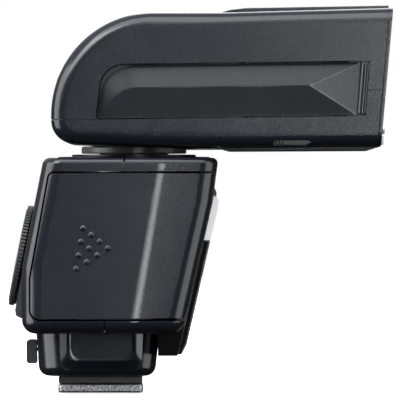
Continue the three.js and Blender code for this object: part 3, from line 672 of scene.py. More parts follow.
def side_panel(name, side):
    """A heightfield over the recess, cut to the recess outline."""
    bm = bmesh.new()
    columns, rows = PANEL_STEPS
    f0, f1, z0, z1 = -2, 58.5, 59.8, 73
    grid = []
    for i in range(columns + 1):
        forward = f0 + (f1 - f0) * i / columns
        line = []
        for j in range(rows + 1):
            up = z0 + (z1 - z0) * j / rows
            x = HEAD_HALF - RECESS - PANEL_LIFT + panel_height(forward, up)
            line.append(bm.verts.new(at(side * x, forward, up)))
        grid.append(line)
    for i in range(columns):
        for j in range(rows):
            bm.faces.new((grid[i][j], grid[i + 1][j], grid[i + 1][j + 1], grid[i][j + 1]))
    depth = HEAD_HALF - POCKET_DEPTH
    rim = [grid[i][0] for i in range(columns + 1)] + [grid[columns][j] for j in range(1, rows + 1)]
    rim += [grid[i][rows] for i in range(columns - 1, -1, -1)] + [grid[0][j] for j in range(rows - 1, 0, -1)]
    under = [bm.verts.new((side * depth * MM, vert.co.y, vert.co.z)) for vert in rim]
    for i in range(len(rim)):
        j = (i + 1) % len(rim)
        bm.faces.new((rim[i], under[i], under[j], rim[j]))
    bm.faces.new(under)
    panel = from_bmesh(name, bm)
    edges = beside(side, 20, 35)
    carve(panel, slab("outline", POCKET, *edges, inset=-0.05), operation="INTERSECT")
    carve(panel, rod("clip clearance", clip_centre(side, 60), clip_centre(side, 74), CLIP_RADIUS, 48))
    panel.data.shade_smooth()
    panel.data.set_sharp_from_angle(angle=math.radians(20))
    return panel


for label, side in (("left", 1), ("right", -1)):
    panel = side_panel("side_insert_" + label, side)
    place(panel, "head", "panel", "side_panel_" + label)
    bar = rod("clip_post_" + label, clip_centre(side, 61.15), clip_centre(side, 72.5), CLIP_RADIUS, 40)
    soften(bar, 0.25)
    place(bar, "head", "shell", "clip_bar_" + label)

# %% [markdown]
# ## Lens end
# The slanted face is a thin frame round the flash window. The window is a moulded Fresnel sheet: dozens
# of fine ridges run across it, each a slice of a much thicker lens, and they give the window its striped
# look.

# %% Lens frame
bezel = carve(head_solid("lens_frame", 0), behind_lens("face", 0, BEZEL + GAP - 0.05), operation="INTERSECT")
carve(bezel, block("window", -27, 27, 50, 80, 60.9, 80.9), block("card way", -25, 25, 50, 80, 54.6, 58.7))
soften(bezel, 0.12)
place(bezel, "head", "shell", "lens_bezel")

# %% [markdown]
# A Geometry Nodes tree makes the ridges: a line of points up the lens face, one small prism on each.

# %% Ridge tree


class Tree:
    """A short way to write a Geometry Nodes tree. Every tree also has an input for its finish."""

    def __init__(self, name, **inputs):
        self.group = bpy.data.node_groups.new(name, "GeometryNodeTree")
        self.group.interface.new_socket("Geometry", in_out="OUTPUT", socket_type="NodeSocketGeometry")
        self.group.interface.new_socket("Geometry", in_out="INPUT", socket_type="NodeSocketGeometry")
        self.identifiers = {}
        for label, kind in {**inputs, "Finish": "Material"}.items():
            label = label.replace("_", " ")
            socket = self.group.interface.new_socket(label, in_out="INPUT", socket_type="NodeSocket" + kind)
            self.identifiers[label] = socket.identifier
        self.start = self.group.nodes.new("NodeGroupInput")

    def node(self, kind, **sockets):
        made = self.group.nodes.new(kind)
        for label, value in sockets.items():
            label = label.replace("_", " ")
            if isinstance(value, bpy.types.NodeSocket):
                self.group.links.new(value, made.inputs[label])
            else:
                made.inputs[label].default_value = value
        return made

    def math(self, operation, first, second):
        made = self.group.nodes.new("ShaderNodeMath")
        made.operation = operation
        for i, value in enumerate((first, second)):
            if isinstance(value, bpy.types.NodeSocket):
                self.group.links.new(value, made.inputs[i])
            else:
                made.inputs[i].default_value = value
        return made.outputs[0]

    def vector(self, operation, first, second):
        """Vector maths; the second input of SCALE is a plain number."""
        made = self.group.nodes.new("ShaderNodeVectorMath")
        made.operation = operation
        self.group.links.new(first, made.inputs[0])
        self.group.links.new(second, made.inputs["Scale" if operation == "SCALE" else 1])
        return made.outputs[0]

    def copies(self, points, piece, **sockets):
        """The piece once on every point."""
        return self.node("GeometryNodeInstanceOnPoints", Points=points.outputs[0],
                         Instance=piece.outputs[0], **sockets)

    def finish(self, geometry):
        """Realizes the instances, sets the finish and closes the tree."""
        real = self.node("GeometryNodeRealizeInstances", Geometry=geometry)
        coated = self.node("GeometryNodeSetMaterial", Geometry=real.outputs[0],
                           Material=self.start.outputs["Finish"])
        end = self.group.nodes.new("NodeGroupOutput")
        self.group.links.new(coated.outputs[0], end.inputs[0])
        return self


def grow(name, tree, **values):
    """Runs a tree with its inputs set by identifier and keeps the result as a plain mesh."""
    carrier = new_object(name, bpy.data.meshes.new(name))
    modifier = carrier.modifiers.new("tree", "NODES")
    modifier.node_group = tree.group
    for label, value in values.items():
        modifier[tree.identifiers[label.replace("_", " ")]] = value
    return freeze(carrier)


def ridge_tree():
    """Bars of a set section stacked along a slanted line."""
    tree = Tree("Lens ridges", Count="Int", Start="Vector", Step="Vector", Length="Float", Radius="Float")
    inputs = tree.start.outputs
    line = tree.node("GeometryNodeMeshLine", Count=inputs["Count"], Start_Location=inputs["Start"],
                     Offset=inputs["Step"])
    prism = tree.node("GeometryNodeMeshCylinder", Vertices=6, Radius=inputs["Radius"], Depth=inputs["Length"])
    bars = tree.copies(line, prism, Rotation=(0, math.radians(90), 0))
    return tree.finish(bars.outputs[0])


RIDGES = ridge_tree()
print("tree:", RIDGES.group.name, "with inputs", ", ".join(RIDGES.identifiers))

# %% Flash window
LENS_HALF = 28.2
LENS_BAND = (59.9, 81.8)
RIDGE_PITCH = 0.55
window = behind_lens("window_sheet", BEZEL + GAP + 0.3, BEZEL + GAP + 1.5, LENS_HALF, *LENS_BAND)
soften(window, 0.1)
ridge_low = 61.2
ridge_count = int((LENS_BAND[1] - 1.2 - ridge_low) / RIDGE_PITCH)
first = at(0, lens_front(ridge_low) - BEZEL - GAP - 0.3, ridge_low)
step = at(0, LENS_SLOPE * RIDGE_PITCH, RIDGE_PITCH)
ridges = grow("window_ridges", RIDGES, Count=ridge_count, Start=first, Step=step, Length=54.4 * MM,
              Radius=0.3 * MM, Finish=FINISHES["clear"])
place(window, "head", "clear", "fresnel_lens")
place(ridges, "head", "clear")
print("window ridges:", ridge_count)

# %% [markdown]
# ## Head covers
# A thin cover plate tops the head from the middle to the lens end, and another closes the bottom behind
# the drawer of the wide panel. The wide panel and the white card end in little grips, just proud of the
# lens face.

# %% Covers and drawers
COVER_HALF, HATCH_HALF = 24.5, 26
DRAWER_HALF, TAB_HALF, GRIP_REACH = 24, 6, 0.9
cover_profile = [(26.7, 83.5), (28.4, 84.05), (31.9, 84.45), (63.2, 85.0), (63.2, 84.45), (62.9, 83.9),
                 (40, 83.7)]
cover = across("top_plate", cover_profile, -COVER_HALF, COVER_HALF)
soften(cover, 0.2)
place(cover, "head", "shell", "top_cover")
hatch_profile = [(26.9, 53.7), (28.5, 53.25), (59, 53.4), (60, 53.7), (60, 54.1), (26.9, 54.1)]
hatch = across("bottom_hatch", hatch_profile, -HATCH_HALF, HATCH_HALF)
soften(hatch, 0.12)
place(hatch, "head", "dark", "underside_cover", slot="shell_plastic")


def drawer(node, z0, z1, tab_low, surface):
    """A sheet that slides out of the head, with a grip that hooks over the lens face."""
    face = lens_front(tab_low)
    sheet = block(node + "_sheet", -DRAWER_HALF, DRAWER_HALF, 20, face - 0.2, z0, z1)
    stem = block("stem", -TAB_HALF, TAB_HALF, 58, face + GRIP_REACH, z0, z1)
    grip = block("grip", -TAB_HALF, TAB_HALF, face + 0.5, face + GRIP_REACH + 0.1, tab_low, z1)
    carve(sheet, stem, grip, operation="UNION")
    soften(sheet, 0.12)
    return place(sheet, node, surface, node)


drawer("wide_panel", 57.4, 58.2, 57.0, "clear")
drawer("bounce_card", 56.1, 56.6, 54.7, "card")

# %% [markdown]
# ## Body housing
# The body leans forward and narrows towards its front. It is lofted from level rings, like the head, and
# cut into a front and a rear half, with openings for the battery door, the control panel and the sensor
# window.

# %% Body outline
WALL = 1.8
BODY_BOTTOM, BODY_TOP = 13.2, 51.7
BODY_HALF, BODY_FRONT_HALF = 30, 28.2
BODY_CORNER, FOOT_ROUND, CROWN_ROUND = 4.5, 3, 1.4
REAR_LEAN = math.radians(11.26)
REAR_KNEE = (-17.0, 27.9)
FRONT_FOOT, FRONT_KNEE = (17.6, 10.7), (24.7, 42.0)
SWIVEL = (7.3, 52.5)
PANEL_HALF = 25.5
DOOR_BAND = (16.3, 48.4)
DOOR_REAR, DOOR_REAR_TOP, DOOR_KNEE_UP = -15.2, -11.0, 25.2
DOOR_X, OUTSIDE_X = -26, -45
DOOR_RISE = 0.45
HINGE_X = -24.9
HINGE_DEPTH = 1.9
BARREL_RADIUS = 1.4


def body_rear(z):
    return REAR_KNEE[0] + max(0.0, z - REAR_KNEE[1]) * math.tan(REAR_LEAN)


def body_front(z):
    lower_slope = (FRONT_KNEE[0] - FRONT_FOOT[0]) / (FRONT_KNEE[1] - FRONT_FOOT[1])
    return FRONT_KNEE[0] + (z - FRONT_KNEE[1]) * (lower_slope if z < FRONT_KNEE[1] else 0.13)


def on_front(out, z):
    """A (forward, up) point at a distance out from the body's front."""
    return body_front(z) + out, z


def body_ring(z, inset):
    rear, bend, front = body_rear(z), 8 + (z - 17.9) * 0.172, body_front(z)
    corners = [(-BODY_HALF, rear, BODY_CORNER), (BODY_HALF, rear, BODY_CORNER), (BODY_HALF, bend, 17),
               (BODY_FRONT_HALF, front, BODY_CORNER), (-BODY_FRONT_HALF, front, BODY_CORNER),
               (-BODY_HALF, bend, 17)]
    return [at(*point, z) for point in rounded_outline(corners, inset, 12)]


def body_solid(name, wall):
    foot, crown = quarter_round(FOOT_ROUND - wall / 2, 8), quarter_round(CROWN_ROUND - wall / 2, 6)
    rings = [body_ring(BODY_BOTTOM + wall + rise, wall + inset) for inset, rise in foot]
    rings += [body_ring(REAR_KNEE[1], wall), body_ring(FRONT_KNEE[1], wall)]
    rings += [body_ring(BODY_TOP - wall - rise, wall + inset) for inset, rise in reversed(crown)]
    return loft(name, rings)


def door_outline(grow=0.0, rise=0.0):
    low, high = DOOR_BAND
    corners = [(DOOR_REAR, low, 2.2), (40, low + rise, 0), (40, high, 0), (DOOR_REAR_TOP, high, 1.2),
               (DOOR_REAR, DOOR_KNEE_UP, 0)]
    return rounded_outline(corners, -grow, 12)


def hinge_point(z):
    low, high = DOOR_BAND
    slope = (body_front(high) - body_front(low)) / (high - low)
    return at(HINGE_X, body_front(low) + (z - low) * slope - HINGE_DEPTH, z)


def upright(name, forward, z0, z1, radius, sides=96):
    return rod(name, at(0, forward, z0), at(0, forward, z1), radius, sides)


print("body ring:", len(body_ring(20, 0)), "points")

# %% Body halves
SEAM = 0.22
SPLIT_LOW, SPLIT_HIGH, SPLIT_LEAN = 5, 60, 6.4
CHIN_HALF, CHIN_REAR, CHIN_FOOT, CHIN_TOP = 22, 12.7, 8.3, 17
RING_SEAT = 17.1
WIRE_WAY = (-4, 4, -5, 5, 10, 18)


def split_band(near, far):
    """A profile between two lines that run beside the body's parting line."""
    return [(SPLIT_LEAN + near, SPLIT_HIGH), (near, SPLIT_LOW), (far, SPLIT_LOW),
            (SPLIT_LEAN + far, SPLIT_HIGH)]


chin_profile = [(CHIN_REAR, CHIN_FOOT), (17.0, CHIN_FOOT), FRONT_FOOT, on_front(0, CHIN_TOP),
                (CHIN_REAR, CHIN_TOP)]
chin = across("chin", chin_profile, -CHIN_HALF, CHIN_HALF)
body_shell = carve(body_solid("body", 0), chin, operation="UNION")
bay_ends = [(-hinge_point(z).y / MM, z) for z in (DOOR_BAND[0] - GAP, DOOR_BAND[1] + GAP)]
bay = [(forward - BARREL_RADIUS - 2 * GAP, z) for forward, z in bay_ends]
bay += [(forward + 10, z) for forward, z in reversed(bay_ends)]
carve(body_shell, body_solid("inside", WALL),
      across("doorway", door_outline(GAP), OUTSIDE_X, HINGE_X + 0.2),
      across("hinge bay", bay, -27.2, -22.2),
      block("panel window", -PANEL_HALF - GAP, PANEL_HALF + GAP, -40, -5, 16.3, 48.8),
      upright("shaft", SWIVEL[0], 40, 60, 8), upright("ring seat", SWIVEL[0], 51.0, 60, RING_SEAT),
      block("wire way", *WIRE_WAY))
front = carve(copy_of(body_shell, "body_front_housing"),
              across("front cut", split_band(SEAM, 60), -40, 40), operation="INTERSECT")
carve(front, block("light window", -12, 12, 10, 40, 34.9, 42))
rear = carve(body_shell, across("rear cut", split_band(-SEAM, -40), -40, 40), operation="INTERSECT")
rear.name = "body_rear_housing"
for half, node in ((front, "front_shell"), (rear, "rear_shell")):
    soften(half, 0.18)
    place(half, "base", "shell", node)
front.data.materials.append(FINISHES["gloss"])
for face in front.data.polygons:
    x, forward, up = face.center.x / MM, -face.center.y / MM, face.center.z / MM
    if up < BODY_BOTTOM - 0.1 and abs(x) < CHIN_HALF + 0.1 and forward > CHIN_REAR - 0.1:
        face.material_index = 1

# %% [markdown]
# Where two mouldings meet, one carries a tongue behind the joint, so that no light passes. Thin bands
# just inside the outer surface stand for the tongues, and a black seal lines the doorway.

# %% Tongues and seal
TONGUE = 0.8
tongue = carve(body_solid("body_tongue", 0.5), body_solid("inside", 1.7))
carve(tongue, across("band", split_band(-TONGUE, TONGUE), -40, 40), operation="INTERSECT")
carve(tongue, across("doorway", door_outline(GAP), OUTSIDE_X, HINGE_X + 0.2),
      upright("seat", SWIVEL[0], 50, 60, RING_SEAT), block("wire way", *WIRE_WAY))
place(tongue, "base", "black")
seal = carve(body_solid("door_seal", WALL + 1.55), body_solid("inside", WALL + 2.0))
carve(seal, across("outer", door_outline(1.4), OUTSIDE_X, DOOR_X),
      block("back part", OUTSIDE_X, DOOR_X, -40, 13.5, 10, 60), operation="INTERSECT")
carve(seal, across("opening", door_outline(-0.9), OUTSIDE_X, 0))
place(seal, "base", "black")

# %% [markdown]
# ## Battery door
# The door is a slice of the body's own surface, so both come from the same loft and line up all round.
# Its edges get a wider bevel, which makes the fine bright line along the joint. Small domes in a triangle
# show the thumb where to push.

# %% Door
door = carve(body_solid("battery_cover", 0), body_solid("inside", WALL))
carve(door, across("door cut", door_outline(-0.12, DOOR_RISE), OUTSIDE_X, DOOR_X), operation="INTERSECT")
barrel = rod("barrel", hinge_point(18.4), hinge_point(46.4), BARREL_RADIUS, 40)
carve(door, barrel, operation="UNION")
carve(door, rod("bore", hinge_point(10), hinge_point(55), 0.75, 24),
      block("low leg", -26.2, -20, 0, 40, 10, 18.0), block("high leg", -26.2, -20, 0, 40, 46.8, 60))
soften(door, 0.22)
place(door, "battery_door", "shell", "battery_door")

# %% [markdown]
# The thumb dots repeat in two directions, so a tree makes them: a grid of instances with one corner
# thrown away.

# %% Dot tree


def dot_tree():
    """Low domes on a slanted triangular lattice."""
    tree = Tree("Thumb dots", Rows="Int", Start="Vector", Step_Down="Vector", Step_Along="Vector",
                Radius="Float")
    inputs = tree.start.outputs
    rows = inputs["Rows"]
    count = tree.math("MULTIPLY", rows, rows)
    line = tree.node("GeometryNodeMeshLine", Count=count)
    index = tree.node("GeometryNodeInputIndex").outputs[0]
    down = tree.math("FLOOR", tree.math("DIVIDE", index, rows), 0.0)
    along = tree.math("MODULO", index, rows)
    beyond = tree.math("GREATER_THAN", tree.math("ADD", down, along), tree.math("SUBTRACT", rows, 0.5))
    total = inputs["Start"]
    for factor, step in ((down, inputs["Step Down"]), (along, inputs["Step Along"])):
        total = tree.vector("ADD", total, tree.vector("SCALE", step, factor))
    placed = tree.node("GeometryNodeSetPosition", Geometry=line.outputs[0], Position=total)
    kept = tree.node("GeometryNodeDeleteGeometry", Geometry=placed.outputs[0], Selection=beyond)
    ball = tree.node("GeometryNodeMeshUVSphere", Segments=28, Rings=16, Radius=inputs["Radius"])
    flat = tree.node("GeometryNodeTransform", Geometry=ball.outputs[0], Scale=(0.75, 1, 1))
    dots = tree.copies(kept, flat)
    smooth = tree.node("GeometryNodeSetShadeSmooth", Geometry=dots.outputs[0])
    return tree.finish(smooth.outputs[0])


DOTS = dot_tree()
dots = grow("door_thumb_dots", DOTS, Rows=4, Start=at(-BODY_HALF + 0.05, -3.56, 36.35),
            Step_Down=at(0, -0.50, -2.96), Step_Along=at(0, 1.79, -1.46), Radius=0.72 * MM,
            Finish=FINISHES["shell"])
place(dots, "battery_door", "shell")

# %% [markdown]
# ## Front of the body
# A polished black window hides the wireless sensor. Above it, a clear lens covers the little video light,
# which has a grid of diodes on a board behind it.

# %% Sensor window and video light
WINDOW_HALF = 21.5
sensor_profile = [(16.9, 8.6), (17.9, 8.6), on_front(1.4, 10.9), on_front(1.4, 33.6), on_front(-0.1, 33.6),
                  (17.3, 10.9)]
sensor = across("sensor_glass", sensor_profile, -WINDOW_HALF, WINDOW_HALF)
soften(sensor, 0.3)
place(sensor, "base", "gloss", "sensor_window")
lens_profile = [on_front(-0.1, 33.7), on_front(-0.1, 43.9), on_front(0.1, 43.9), on_front(0.75, 43.3),
                on_front(1.3, 42.3), on_front(1.5, 40.5), on_front(1.4, 33.7)]
video_lens = across("video_light_cover", lens_profile, -WINDOW_HALF, WINDOW_HALF)
soften(video_lens, 0.3)
# The cover's finish carries a painted glow that brightens it.
place(video_lens, "base", "milky_painted_glow", "video_light_lens")
brow_profile = [on_front(-0.3, 43.1), (body_front(43.1) + 0.7, 43.15), on_front(0.55, 44.2),
                on_front(-0.3, 45.6)]
brow = across("window_brow", brow_profile, -WINDOW_HALF, WINDOW_HALF)
soften(brow, 0.12)
place(brow, "base", "dark", "front_bezel")


def dome_tree():
    """Copies of one small ball in a grid of two steps."""
    tree = Tree("Dome grid", Across="Int", Up="Int", Start="Vector", Step_Across="Vector",
                Step_Up="Vector", Size="Vector")
    inputs = tree.start.outputs
    first_line = tree.node("GeometryNodeMeshLine", Count=inputs["Across"], Start_Location=inputs["Start"],
                           Offset=inputs["Step Across"])
    second_line = tree.node("GeometryNodeMeshLine", Count=inputs["Up"], Offset=inputs["Step Up"])
    piece = tree.node("GeometryNodeMeshUVSphere", Segments=16, Rings=8, Radius=1.0)
    sized = tree.node("GeometryNodeTransform", Geometry=piece.outputs[0], Scale=inputs["Size"])
    column = tree.copies(second_line, sized)
    grid = tree.copies(first_line, column)
    return tree.finish(grid.outputs[0])


DOMES = dome_tree()
diodes = grow("video_light_diodes", DOMES, Across=6, Up=2, Start=at(-9, body_front(36.9) - 0.35, 36.9),
              Step_Across=at(3.6, 0, 0), Step_Up=at(0, 0.8, 3.4), Size=Vector((1.1, 0.35, 1.0)) * MM,
              Finish=FINISHES["led"])
diodes.data.shade_smooth()
place(diodes, "base", "led")
coat("board", "light_board")

# %% [markdown]
# ## Back of the body
# The control panel lies along the leaning back. Two knurled discs set the mode and the level; their rims
# stick out just enough for a thumb. Pale ticks stand round each disc, and a small lamp sits above them.

# %% Control panel


def on_panel(x, out, up):
    cos, sin = math.cos(REAR_LEAN), math.sin(REAR_LEAN)
    return Vector((x, -REAR_KNEE[0] + out * cos - up * sin, REAR_KNEE[1] + out * sin + up * cos)) * MM


DIAL_RADIUS = 10.95
DIAL_X, DIAL_UP = 12.6, 2.2
BUTTON_X, BUTTON_UP = 13, 17.2
RIB_COUNT, TICK_COUNT = 84, 36
outer_top, inner_top = on_panel(0, 0, 20.4) / MM, on_panel(0, -1.65, 20.4) / MM
panel_profile = [(-outer_top.y, outer_top.z), (-18.5, 18.4), (-18.3, 17.2), (-17.2, 16.6), (-15.3, 16.6),
                 (-15.3, 27.6), (-inner_top.y, inner_top.z)]
back = across("control_panel", panel_profile, -PANEL_HALF - 0.22, PANEL_HALF + 0.22)
for x in (-DIAL_X, DIAL_X):
    carve(back, rod("shaft hole", on_panel(x, -6, DIAL_UP), on_panel(x, 3, DIAL_UP), 2.6))
for x in (-BUTTON_X, BUTTON_X):
    carve(back, rod("button well", on_panel(x, -6, BUTTON_UP), on_panel(x, 3, BUTTON_UP), 2.9))
carve(back, block("switch slot", -4.3, 4.3, -25, -5, 43.0, 46.4))
soften(back, 0.25)
place(back, "base", "dark", "rear_panel")

# %% [markdown]
# A dial is a turned disc with a rib on every few degrees. The disc comes from a profile swept round the
# axle, and a tree stands the ribs on its rim.

# %% Dial


def turned(name, profile, centre, axis_point, sides=96):
    """A closed solid of revolution: (radius, along) pairs round the line from centre to axis_point."""
    along = (axis_point - centre).normalized()
    turn = along.to_track_quat("Z", "Y").to_matrix()
    rings = []
    for radius, rise in profile:
        ring = []
        for i in range(sides):
            angle = 2 * math.pi * i / sides
            spoke = Vector((radius * math.cos(angle), radius * math.sin(angle), rise))
            ring.append(centre + turn @ spoke * MM)
        rings.append(ring)
    return loft(name, rings)


def ring_tree():
    """Bars standing round a circle in the XY plane, all pointing outwards."""
    tree = Tree("Rim ribs", Count="Int", Radius="Float", Size="Vector")
    inputs = tree.start.outputs
    circle = tree.node("GeometryNodeMeshCircle", Vertices=inputs["Count"], Radius=inputs["Radius"])
    index = tree.node("GeometryNodeInputIndex").outputs[0]
    angle = tree.math("MULTIPLY", tree.math("DIVIDE", index, inputs["Count"]), 2 * math.pi)
    turn = tree.node("ShaderNodeCombineXYZ", Z=angle)
    bar = tree.node("GeometryNodeMeshCube")
    sized = tree.node("GeometryNodeTransform", Geometry=bar.outputs[0], Scale=inputs["Size"])
    ribs = tree.copies(circle, sized, Rotation=turn.outputs[0])
    return tree.finish(ribs.outputs[0])


RIM_RIBS = ring_tree()


def stand_on(obj, centre, axis_point):
    """Moves a mesh made round the origin, facing +Z, to a place and direction."""
    turn = (axis_point - centre).normalized().to_track_quat("Z", "Y").to_matrix().to_4x4()
    obj.data.transform(Matrix.Translation(centre) @ turn)
    return obj


def dial(node, x):
    centre, ahead = on_panel(x, 0, DIAL_UP), on_panel(x, 1, DIAL_UP)
    rim = DIAL_RADIUS - 0.4
    profile = [(2.2, -3), (2.2, 0.25), (rim - 0.4, 0.25), (rim, 0.45), (rim, 1.35), (rim - 0.35, 1.65),
               (rim - 1.4, 1.65), (rim - 1.7, 1.45), (0.05, 1.45)]
    disc = turned(node + "_disc", profile, centre, ahead)
    soften(disc, 0)
    disc.data.set_sharp_from_angle(angle=math.radians(35))
    place(disc, node, "rubber", node)
    ribs = grow(node + "_ribs", RIM_RIBS, Count=RIB_COUNT, Radius=(rim + 0.05) * MM,
                Size=Vector((1.0, 0.4, 1.1)) * MM, Finish=FINISHES["rubber"])
    ribs.data.transform(Matrix.Translation((0, 0, 0.92 * MM)))
    stand_on(ribs, centre, ahead)
    return place(ribs, node, "rubber")


dial("mode_dial", -DIAL_X)
dial("level_dial", DIAL_X)

# %% [markdown]
# Numbers and ticks are printed on the dials. A text object gives each number its outline; it is turned
# into a mesh and then laid on the dial's face, so that it turns with the dial.

# %% Dial markings
INK_UP = 1.48
NUMBER_RING, TICK_RING = 6.3, 8.35


def number_mesh(name, text, size, angle, ring):
    """A flat number standing upright at an angle round the middle of a dial."""
    curve = bpy.data.curves.new(name, "FONT")
    curve.body = text
    curve.size = size * MM
    curve.extrude = 0.03 * MM
    curve.align_x, curve.align_y = "CENTER", "CENTER"
    words = bpy.data.objects.new(name, curve)
    bpy.context.collection.objects.link(words)
    graph = bpy.context.evaluated_depsgraph_get()
    mesh = bpy.data.meshes.new_from_object(words.evaluated_get(graph))
    discard(words)
    mesh.transform(Matrix.Rotation(-angle, 4, "Z") @ Matrix.Translation((0, ring * MM, INK_UP * MM)))
    return mesh


def mark_dial(node, x, labels):
    centre, ahead = on_panel(x, 0, DIAL_UP), on_panel(x, 1, DIAL_UP)
    bm = bmesh.new()
    for i, label in enumerate(labels):
        angle = 2 * math.pi * (i - (len(labels) - 1) / 2) / (len(labels) + 1)
        mesh = number_mesh("number", label, 2.5, angle, NUMBER_RING)
        bm.from_mesh(mesh)
        bpy.data.meshes.remove(mesh)
    numbers = from_bmesh(node + "_numbers", bm)
    stand_on(numbers, centre, ahead)
    place(numbers, node, "light_mark")
    ticks = grow(node + "_ticks", RIM_RIBS, Count=TICK_COUNT, Radius=TICK_RING * MM,
                 Size=Vector((0.7, 0.14, 0.05)) * MM, Finish=FINISHES["light_mark"])
    ticks.data.transform(Matrix.Translation((0, 0, INK_UP * MM)))
    stand_on(ticks, centre, ahead)
    place(ticks, node, "light_mark")


mark_dial("mode_dial", -DIAL_X, ["1", "2", "3", "4", "5"])
mark_dial("level_dial", DIAL_X, ["0", "1", "2", "3", "4", "5", "6", "7"])

# %% Buttons, switch and pilot lamp
BUTTON_PROFILE = [(3.3, -2.6), (3.3, -1.95), (2.62, -1.95), (2.62, -0.1), (2.5, 0.06), (2.3, 0.1),
                  (1.9, 0.02), (0.05, -0.12)]


def panel_block(name, x0, x1, up0, up1, out0, out1):
    corners = [(x0, up0), (x1, up0), (x1, up1), (x0, up1)]
    return loft(name, [[on_panel(x, out, up) for x, up in corners] for out in (out0, out1)])


for node, x in (("test_button", BUTTON_X), ("light_button", -BUTTON_X)):
    cap = turned(node + "_cap", BUTTON_PROFILE, on_panel(x, 0, BUTTON_UP), on_panel(x, 1, BUTTON_UP), 64)
    soften(cap, 0)
    cap.data.set_sharp_from_angle(angle=math.radians(35))
    place(cap, node, "shell", node)
switch = panel_block("power_slider", -3.8, -0.2, 16.15, 17.85, -2.1, 0.3)
for x in (-3.0, -2.4, -1.6, -1.0):
    carve(switch, panel_block("groove", x - 0.12, x + 0.12, 15, 19, 0.12, 1))
carve(switch, panel_block("slide", -6.5, 2.5, 15.4, 18.6, -2.5, -1.9), operation="UNION")
soften(switch, 0.08)
place(switch, "power_switch", "shell", "power_switch")
lamp_profile = [(0.9, -0.3), (0.9, 0.0), (0.8, 0.18), (0.5, 0.3), (0.05, 0.33)]
pilot = turned("pilot_lamp", lamp_profile, on_panel(7.4, 0, BUTTON_UP), on_panel(7.4, 1, BUTTON_UP), 40)
pilot.data.shade_smooth()
place(pilot, "base", "amber")

# %% [markdown]
# ## Foot
# The shoe foot is a metal plate under a plastic block. Sand-blasting gives the plate its grain, and its
# rounded ends shine. The block above is moulded like a little vase: broad at the top, rounded at its
# underside, with two pillars a side.

# %% Foot plate and stem
FOOT_HALF, FOOT_REACH, FOOT_TOP = 9.3, 9.36, 1.95
STEM_TOP = 3.55
PEDESTAL_HALF, PEDESTAL_BOTTOM = 13.5, 3.65
PEDESTAL_FOOT_SPAN, PEDESTAL_TOP_SPAN = (-13.7, 12.2), (-14.2, 12.9)
HOLLOW_REAR, HOLLOW_FRONT, HOLLOW_LOW = -9.9, 10.3, 3.7
HOLLOW_DEPTH, HOLLOW_RUN, HOLLOW_CLIMB = 1.4, 3.4, 3.9
PIN_FORWARD = 5.5
pin_hole = upright("pin hole", PIN_FORWARD, -1, 20, 1.2, 40)
foot_corners = [(-FOOT_HALF, -FOOT_REACH, 1.2), (FOOT_HALF, -FOOT_REACH, 1.2),
                (FOOT_HALF, FOOT_REACH, 1.2), (-FOOT_HALF, FOOT_REACH, 1.2)]
foot_levels = [(0, 0.3), (0.3, 0), (FOOT_TOP - 0.3, 0), (FOOT_TOP, 0.3)]
plate = loft("shoe_plate", [[at(*point, z) for point in rounded_outline(foot_corners, inset, 8)]
                            for z, inset in foot_levels])
carve(plate, block("insert well", -5.6, 5.6, -7.6, 7.6, -1, 3))
soften(plate, 0.1)
place(plate, "base", "foot", "foot_plate")
stem = carve(block("shoe_stem", -6.2, 6.2, -9.3, 9.2, 2.05, STEM_TOP), pin_hole, keep=True)
soften(stem, 0.2)
place(stem, "base", "black", "foot_stem")
coat("black", "foot_insert")
coat("gold", "center_contact", "data_contact_1", "data_contact_2", "data_contact_3")
coat("steel", "lock_pin")

# %% Foot block


def pedestal_ring(z, rear, front_end, inset):
    corners = [(-PEDESTAL_HALF, rear, 7), (PEDESTAL_HALF, rear, 7), (PEDESTAL_HALF, front_end, 5),
               (-PEDESTAL_HALF, front_end, 5)]
    return [at(*point, z) for point in rounded_outline(corners, inset, 12)]


pedestal_rings = [pedestal_ring(PEDESTAL_BOTTOM + rise, *PEDESTAL_FOOT_SPAN, inset)
                  for inset, rise in quarter_round(2.4, 8)]
pedestal_rings.append(pedestal_ring(BODY_BOTTOM - 0.1, *PEDESTAL_TOP_SPAN, 0))
pedestal = loft("foot_block", pedestal_rings)
hollow_levels = [(14.4, HOLLOW_REAR, HOLLOW_FRONT, HOLLOW_LOW)]
for i in range(9):
    part = i / 8
    depth = HOLLOW_DEPTH * (1 - math.cos(math.pi * part)) / 2
    hollow_levels.append((PEDESTAL_HALF - depth, HOLLOW_REAR + HOLLOW_RUN * part,
                          HOLLOW_FRONT - HOLLOW_RUN * part, HOLLOW_LOW + HOLLOW_CLIMB * part))
for side in (-1, 1):
    rings = [[at(side * x, *point) for point in rounded_outline(
        [(rear_end, low, 2.6), (front_end, low, 2.6), (front_end, 20, 0.5), (rear_end, 20, 0.5)], 0, 10)]
        for x, rear_end, front_end, low in hollow_levels]
    carve(pedestal, loft("hollow", rings))
carve(pedestal, block("slider way", -7.4, 7.4, -16, 8.2, 8, 10.2),
      upright("pin well", PIN_FORWARD, 6.6, 9, 2.2), pin_hole)
soften(pedestal, 0.5, segments=5)
place(pedestal, "base", "shell", "foot_pedestal")

# %% Lock slider
knob_corners = [(-16.4, 6.4, 0.7), (-14.1, 6.4, 0.3), (-14.3, 11.6, 0.3), (-16.4, 11.6, 0.7)]
knob = slab("lock_knob", knob_corners, -6, 6)
for x in (-4, -2, 0, 2, 4):
    carve(knob, block("groove", x - 0.45, x + 0.45, -17, -16, 6, 12))
carve(knob, block("tongue", -2.4, 2.4, -15, 7, 9.1, 9.9), operation="UNION")
soften(knob, 0.12)
place(knob, "lock_slider", "dark", "lock_slider")

# %% [markdown]
# ## Neck
# A stepped ring sits on the body, and the turntable on it carries the tilt bracket: a drum between the
# cheeks of the head, which a steel axle runs through.

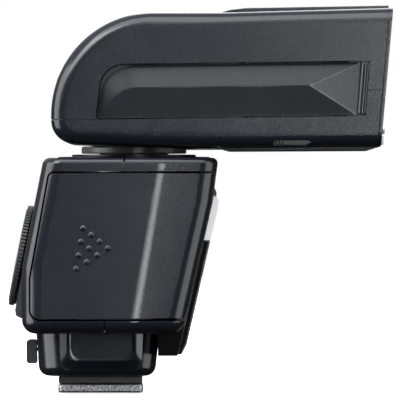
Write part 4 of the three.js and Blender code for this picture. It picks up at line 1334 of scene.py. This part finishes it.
# %% Swivel ring, turntable and bracket
ring_profile = [(8.0, 51.2), (16.6, 51.2), (16.8, 51.4), (16.8, 51.85), (16.65, 52.0), (13.9, 52.0),
                (13.7, 52.1), (13.7, 52.4), (13.6, 52.5), (8.0, 52.5)]
table_profile = [(3.5, 49.5), (7.6, 49.5), (7.6, 52.7), (11.4, 52.7), (11.6, 52.9), (11.6, 54.0),
                 (11.3, 54.3), (3.5, 54.3)]


def turned_ring(name, profile, sides=128):
    """A ring with a hole: the closed profile is swept round the swivel's axis."""
    bm = bmesh.new()
    rows = []
    for i in range(sides):
        angle = 2 * math.pi * i / sides
        cos, sin = math.cos(angle), math.sin(angle)
        rows.append([bm.verts.new(at(r * cos, SWIVEL[0] + r * sin, z)) for r, z in profile])
    for i in range(sides):
        row, after = rows[i], rows[(i + 1) % sides]
        for j in range(len(profile)):
            k = (j + 1) % len(profile)
            bm.faces.new((row[j], row[k], after[k], after[j]))
    made = from_bmesh(name, bm)
    made.data.shade_smooth()
    made.data.set_sharp_from_angle(angle=math.radians(30))
    return made


place(turned_ring("neck_ring", ring_profile), "base", "black", "swivel_ring")
# The turntable's finish is painted lighter, a painted highlight.
place(turned_ring("neck_turntable", table_profile), "swivel", "neck", "turntable")
column = block("tilt_drum", -9.5, 9.5, -2, 7.5, 54.4, 63)
carve(column, cross_rod("drum", TILT, -11.6, 11.6, DRUM_RADIUS, 128), operation="UNION")
carve(column, cross_rod("axle hole", TILT, -20, 20, 2.3))
soften(column, 0.15)
place(column, "swivel", "dark", "tilt_bracket")
coat("steel", "tilt_axle", "swivel_retainer")

# %% [markdown]
# ## Inside
# The inner pieces show when the door is open or the head is looked into, so they carry their own finishes
# too.

# %% Inner pieces
coat("steel", "terminal_plate", "zoom_motor", "guide_rod_left", "guide_rod_right", "lead_screw")
coat("steel", "door_hinge_wire", "door_contact")
coat("black", "battery_cage", "panel_tray", "zoom_carriage")
coat("sleeve", "battery_1", "battery_2", "battery_3", "battery_4")
coat("board", "main_board", "control_board", "head_board")
coat("shrink", "main_capacitor")
coat("mirror", "reflector")
coat("tube", "flash_tube")
missing = [name for name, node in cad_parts.items() if not node.material_slots]
print("nodes without a finish:", missing)
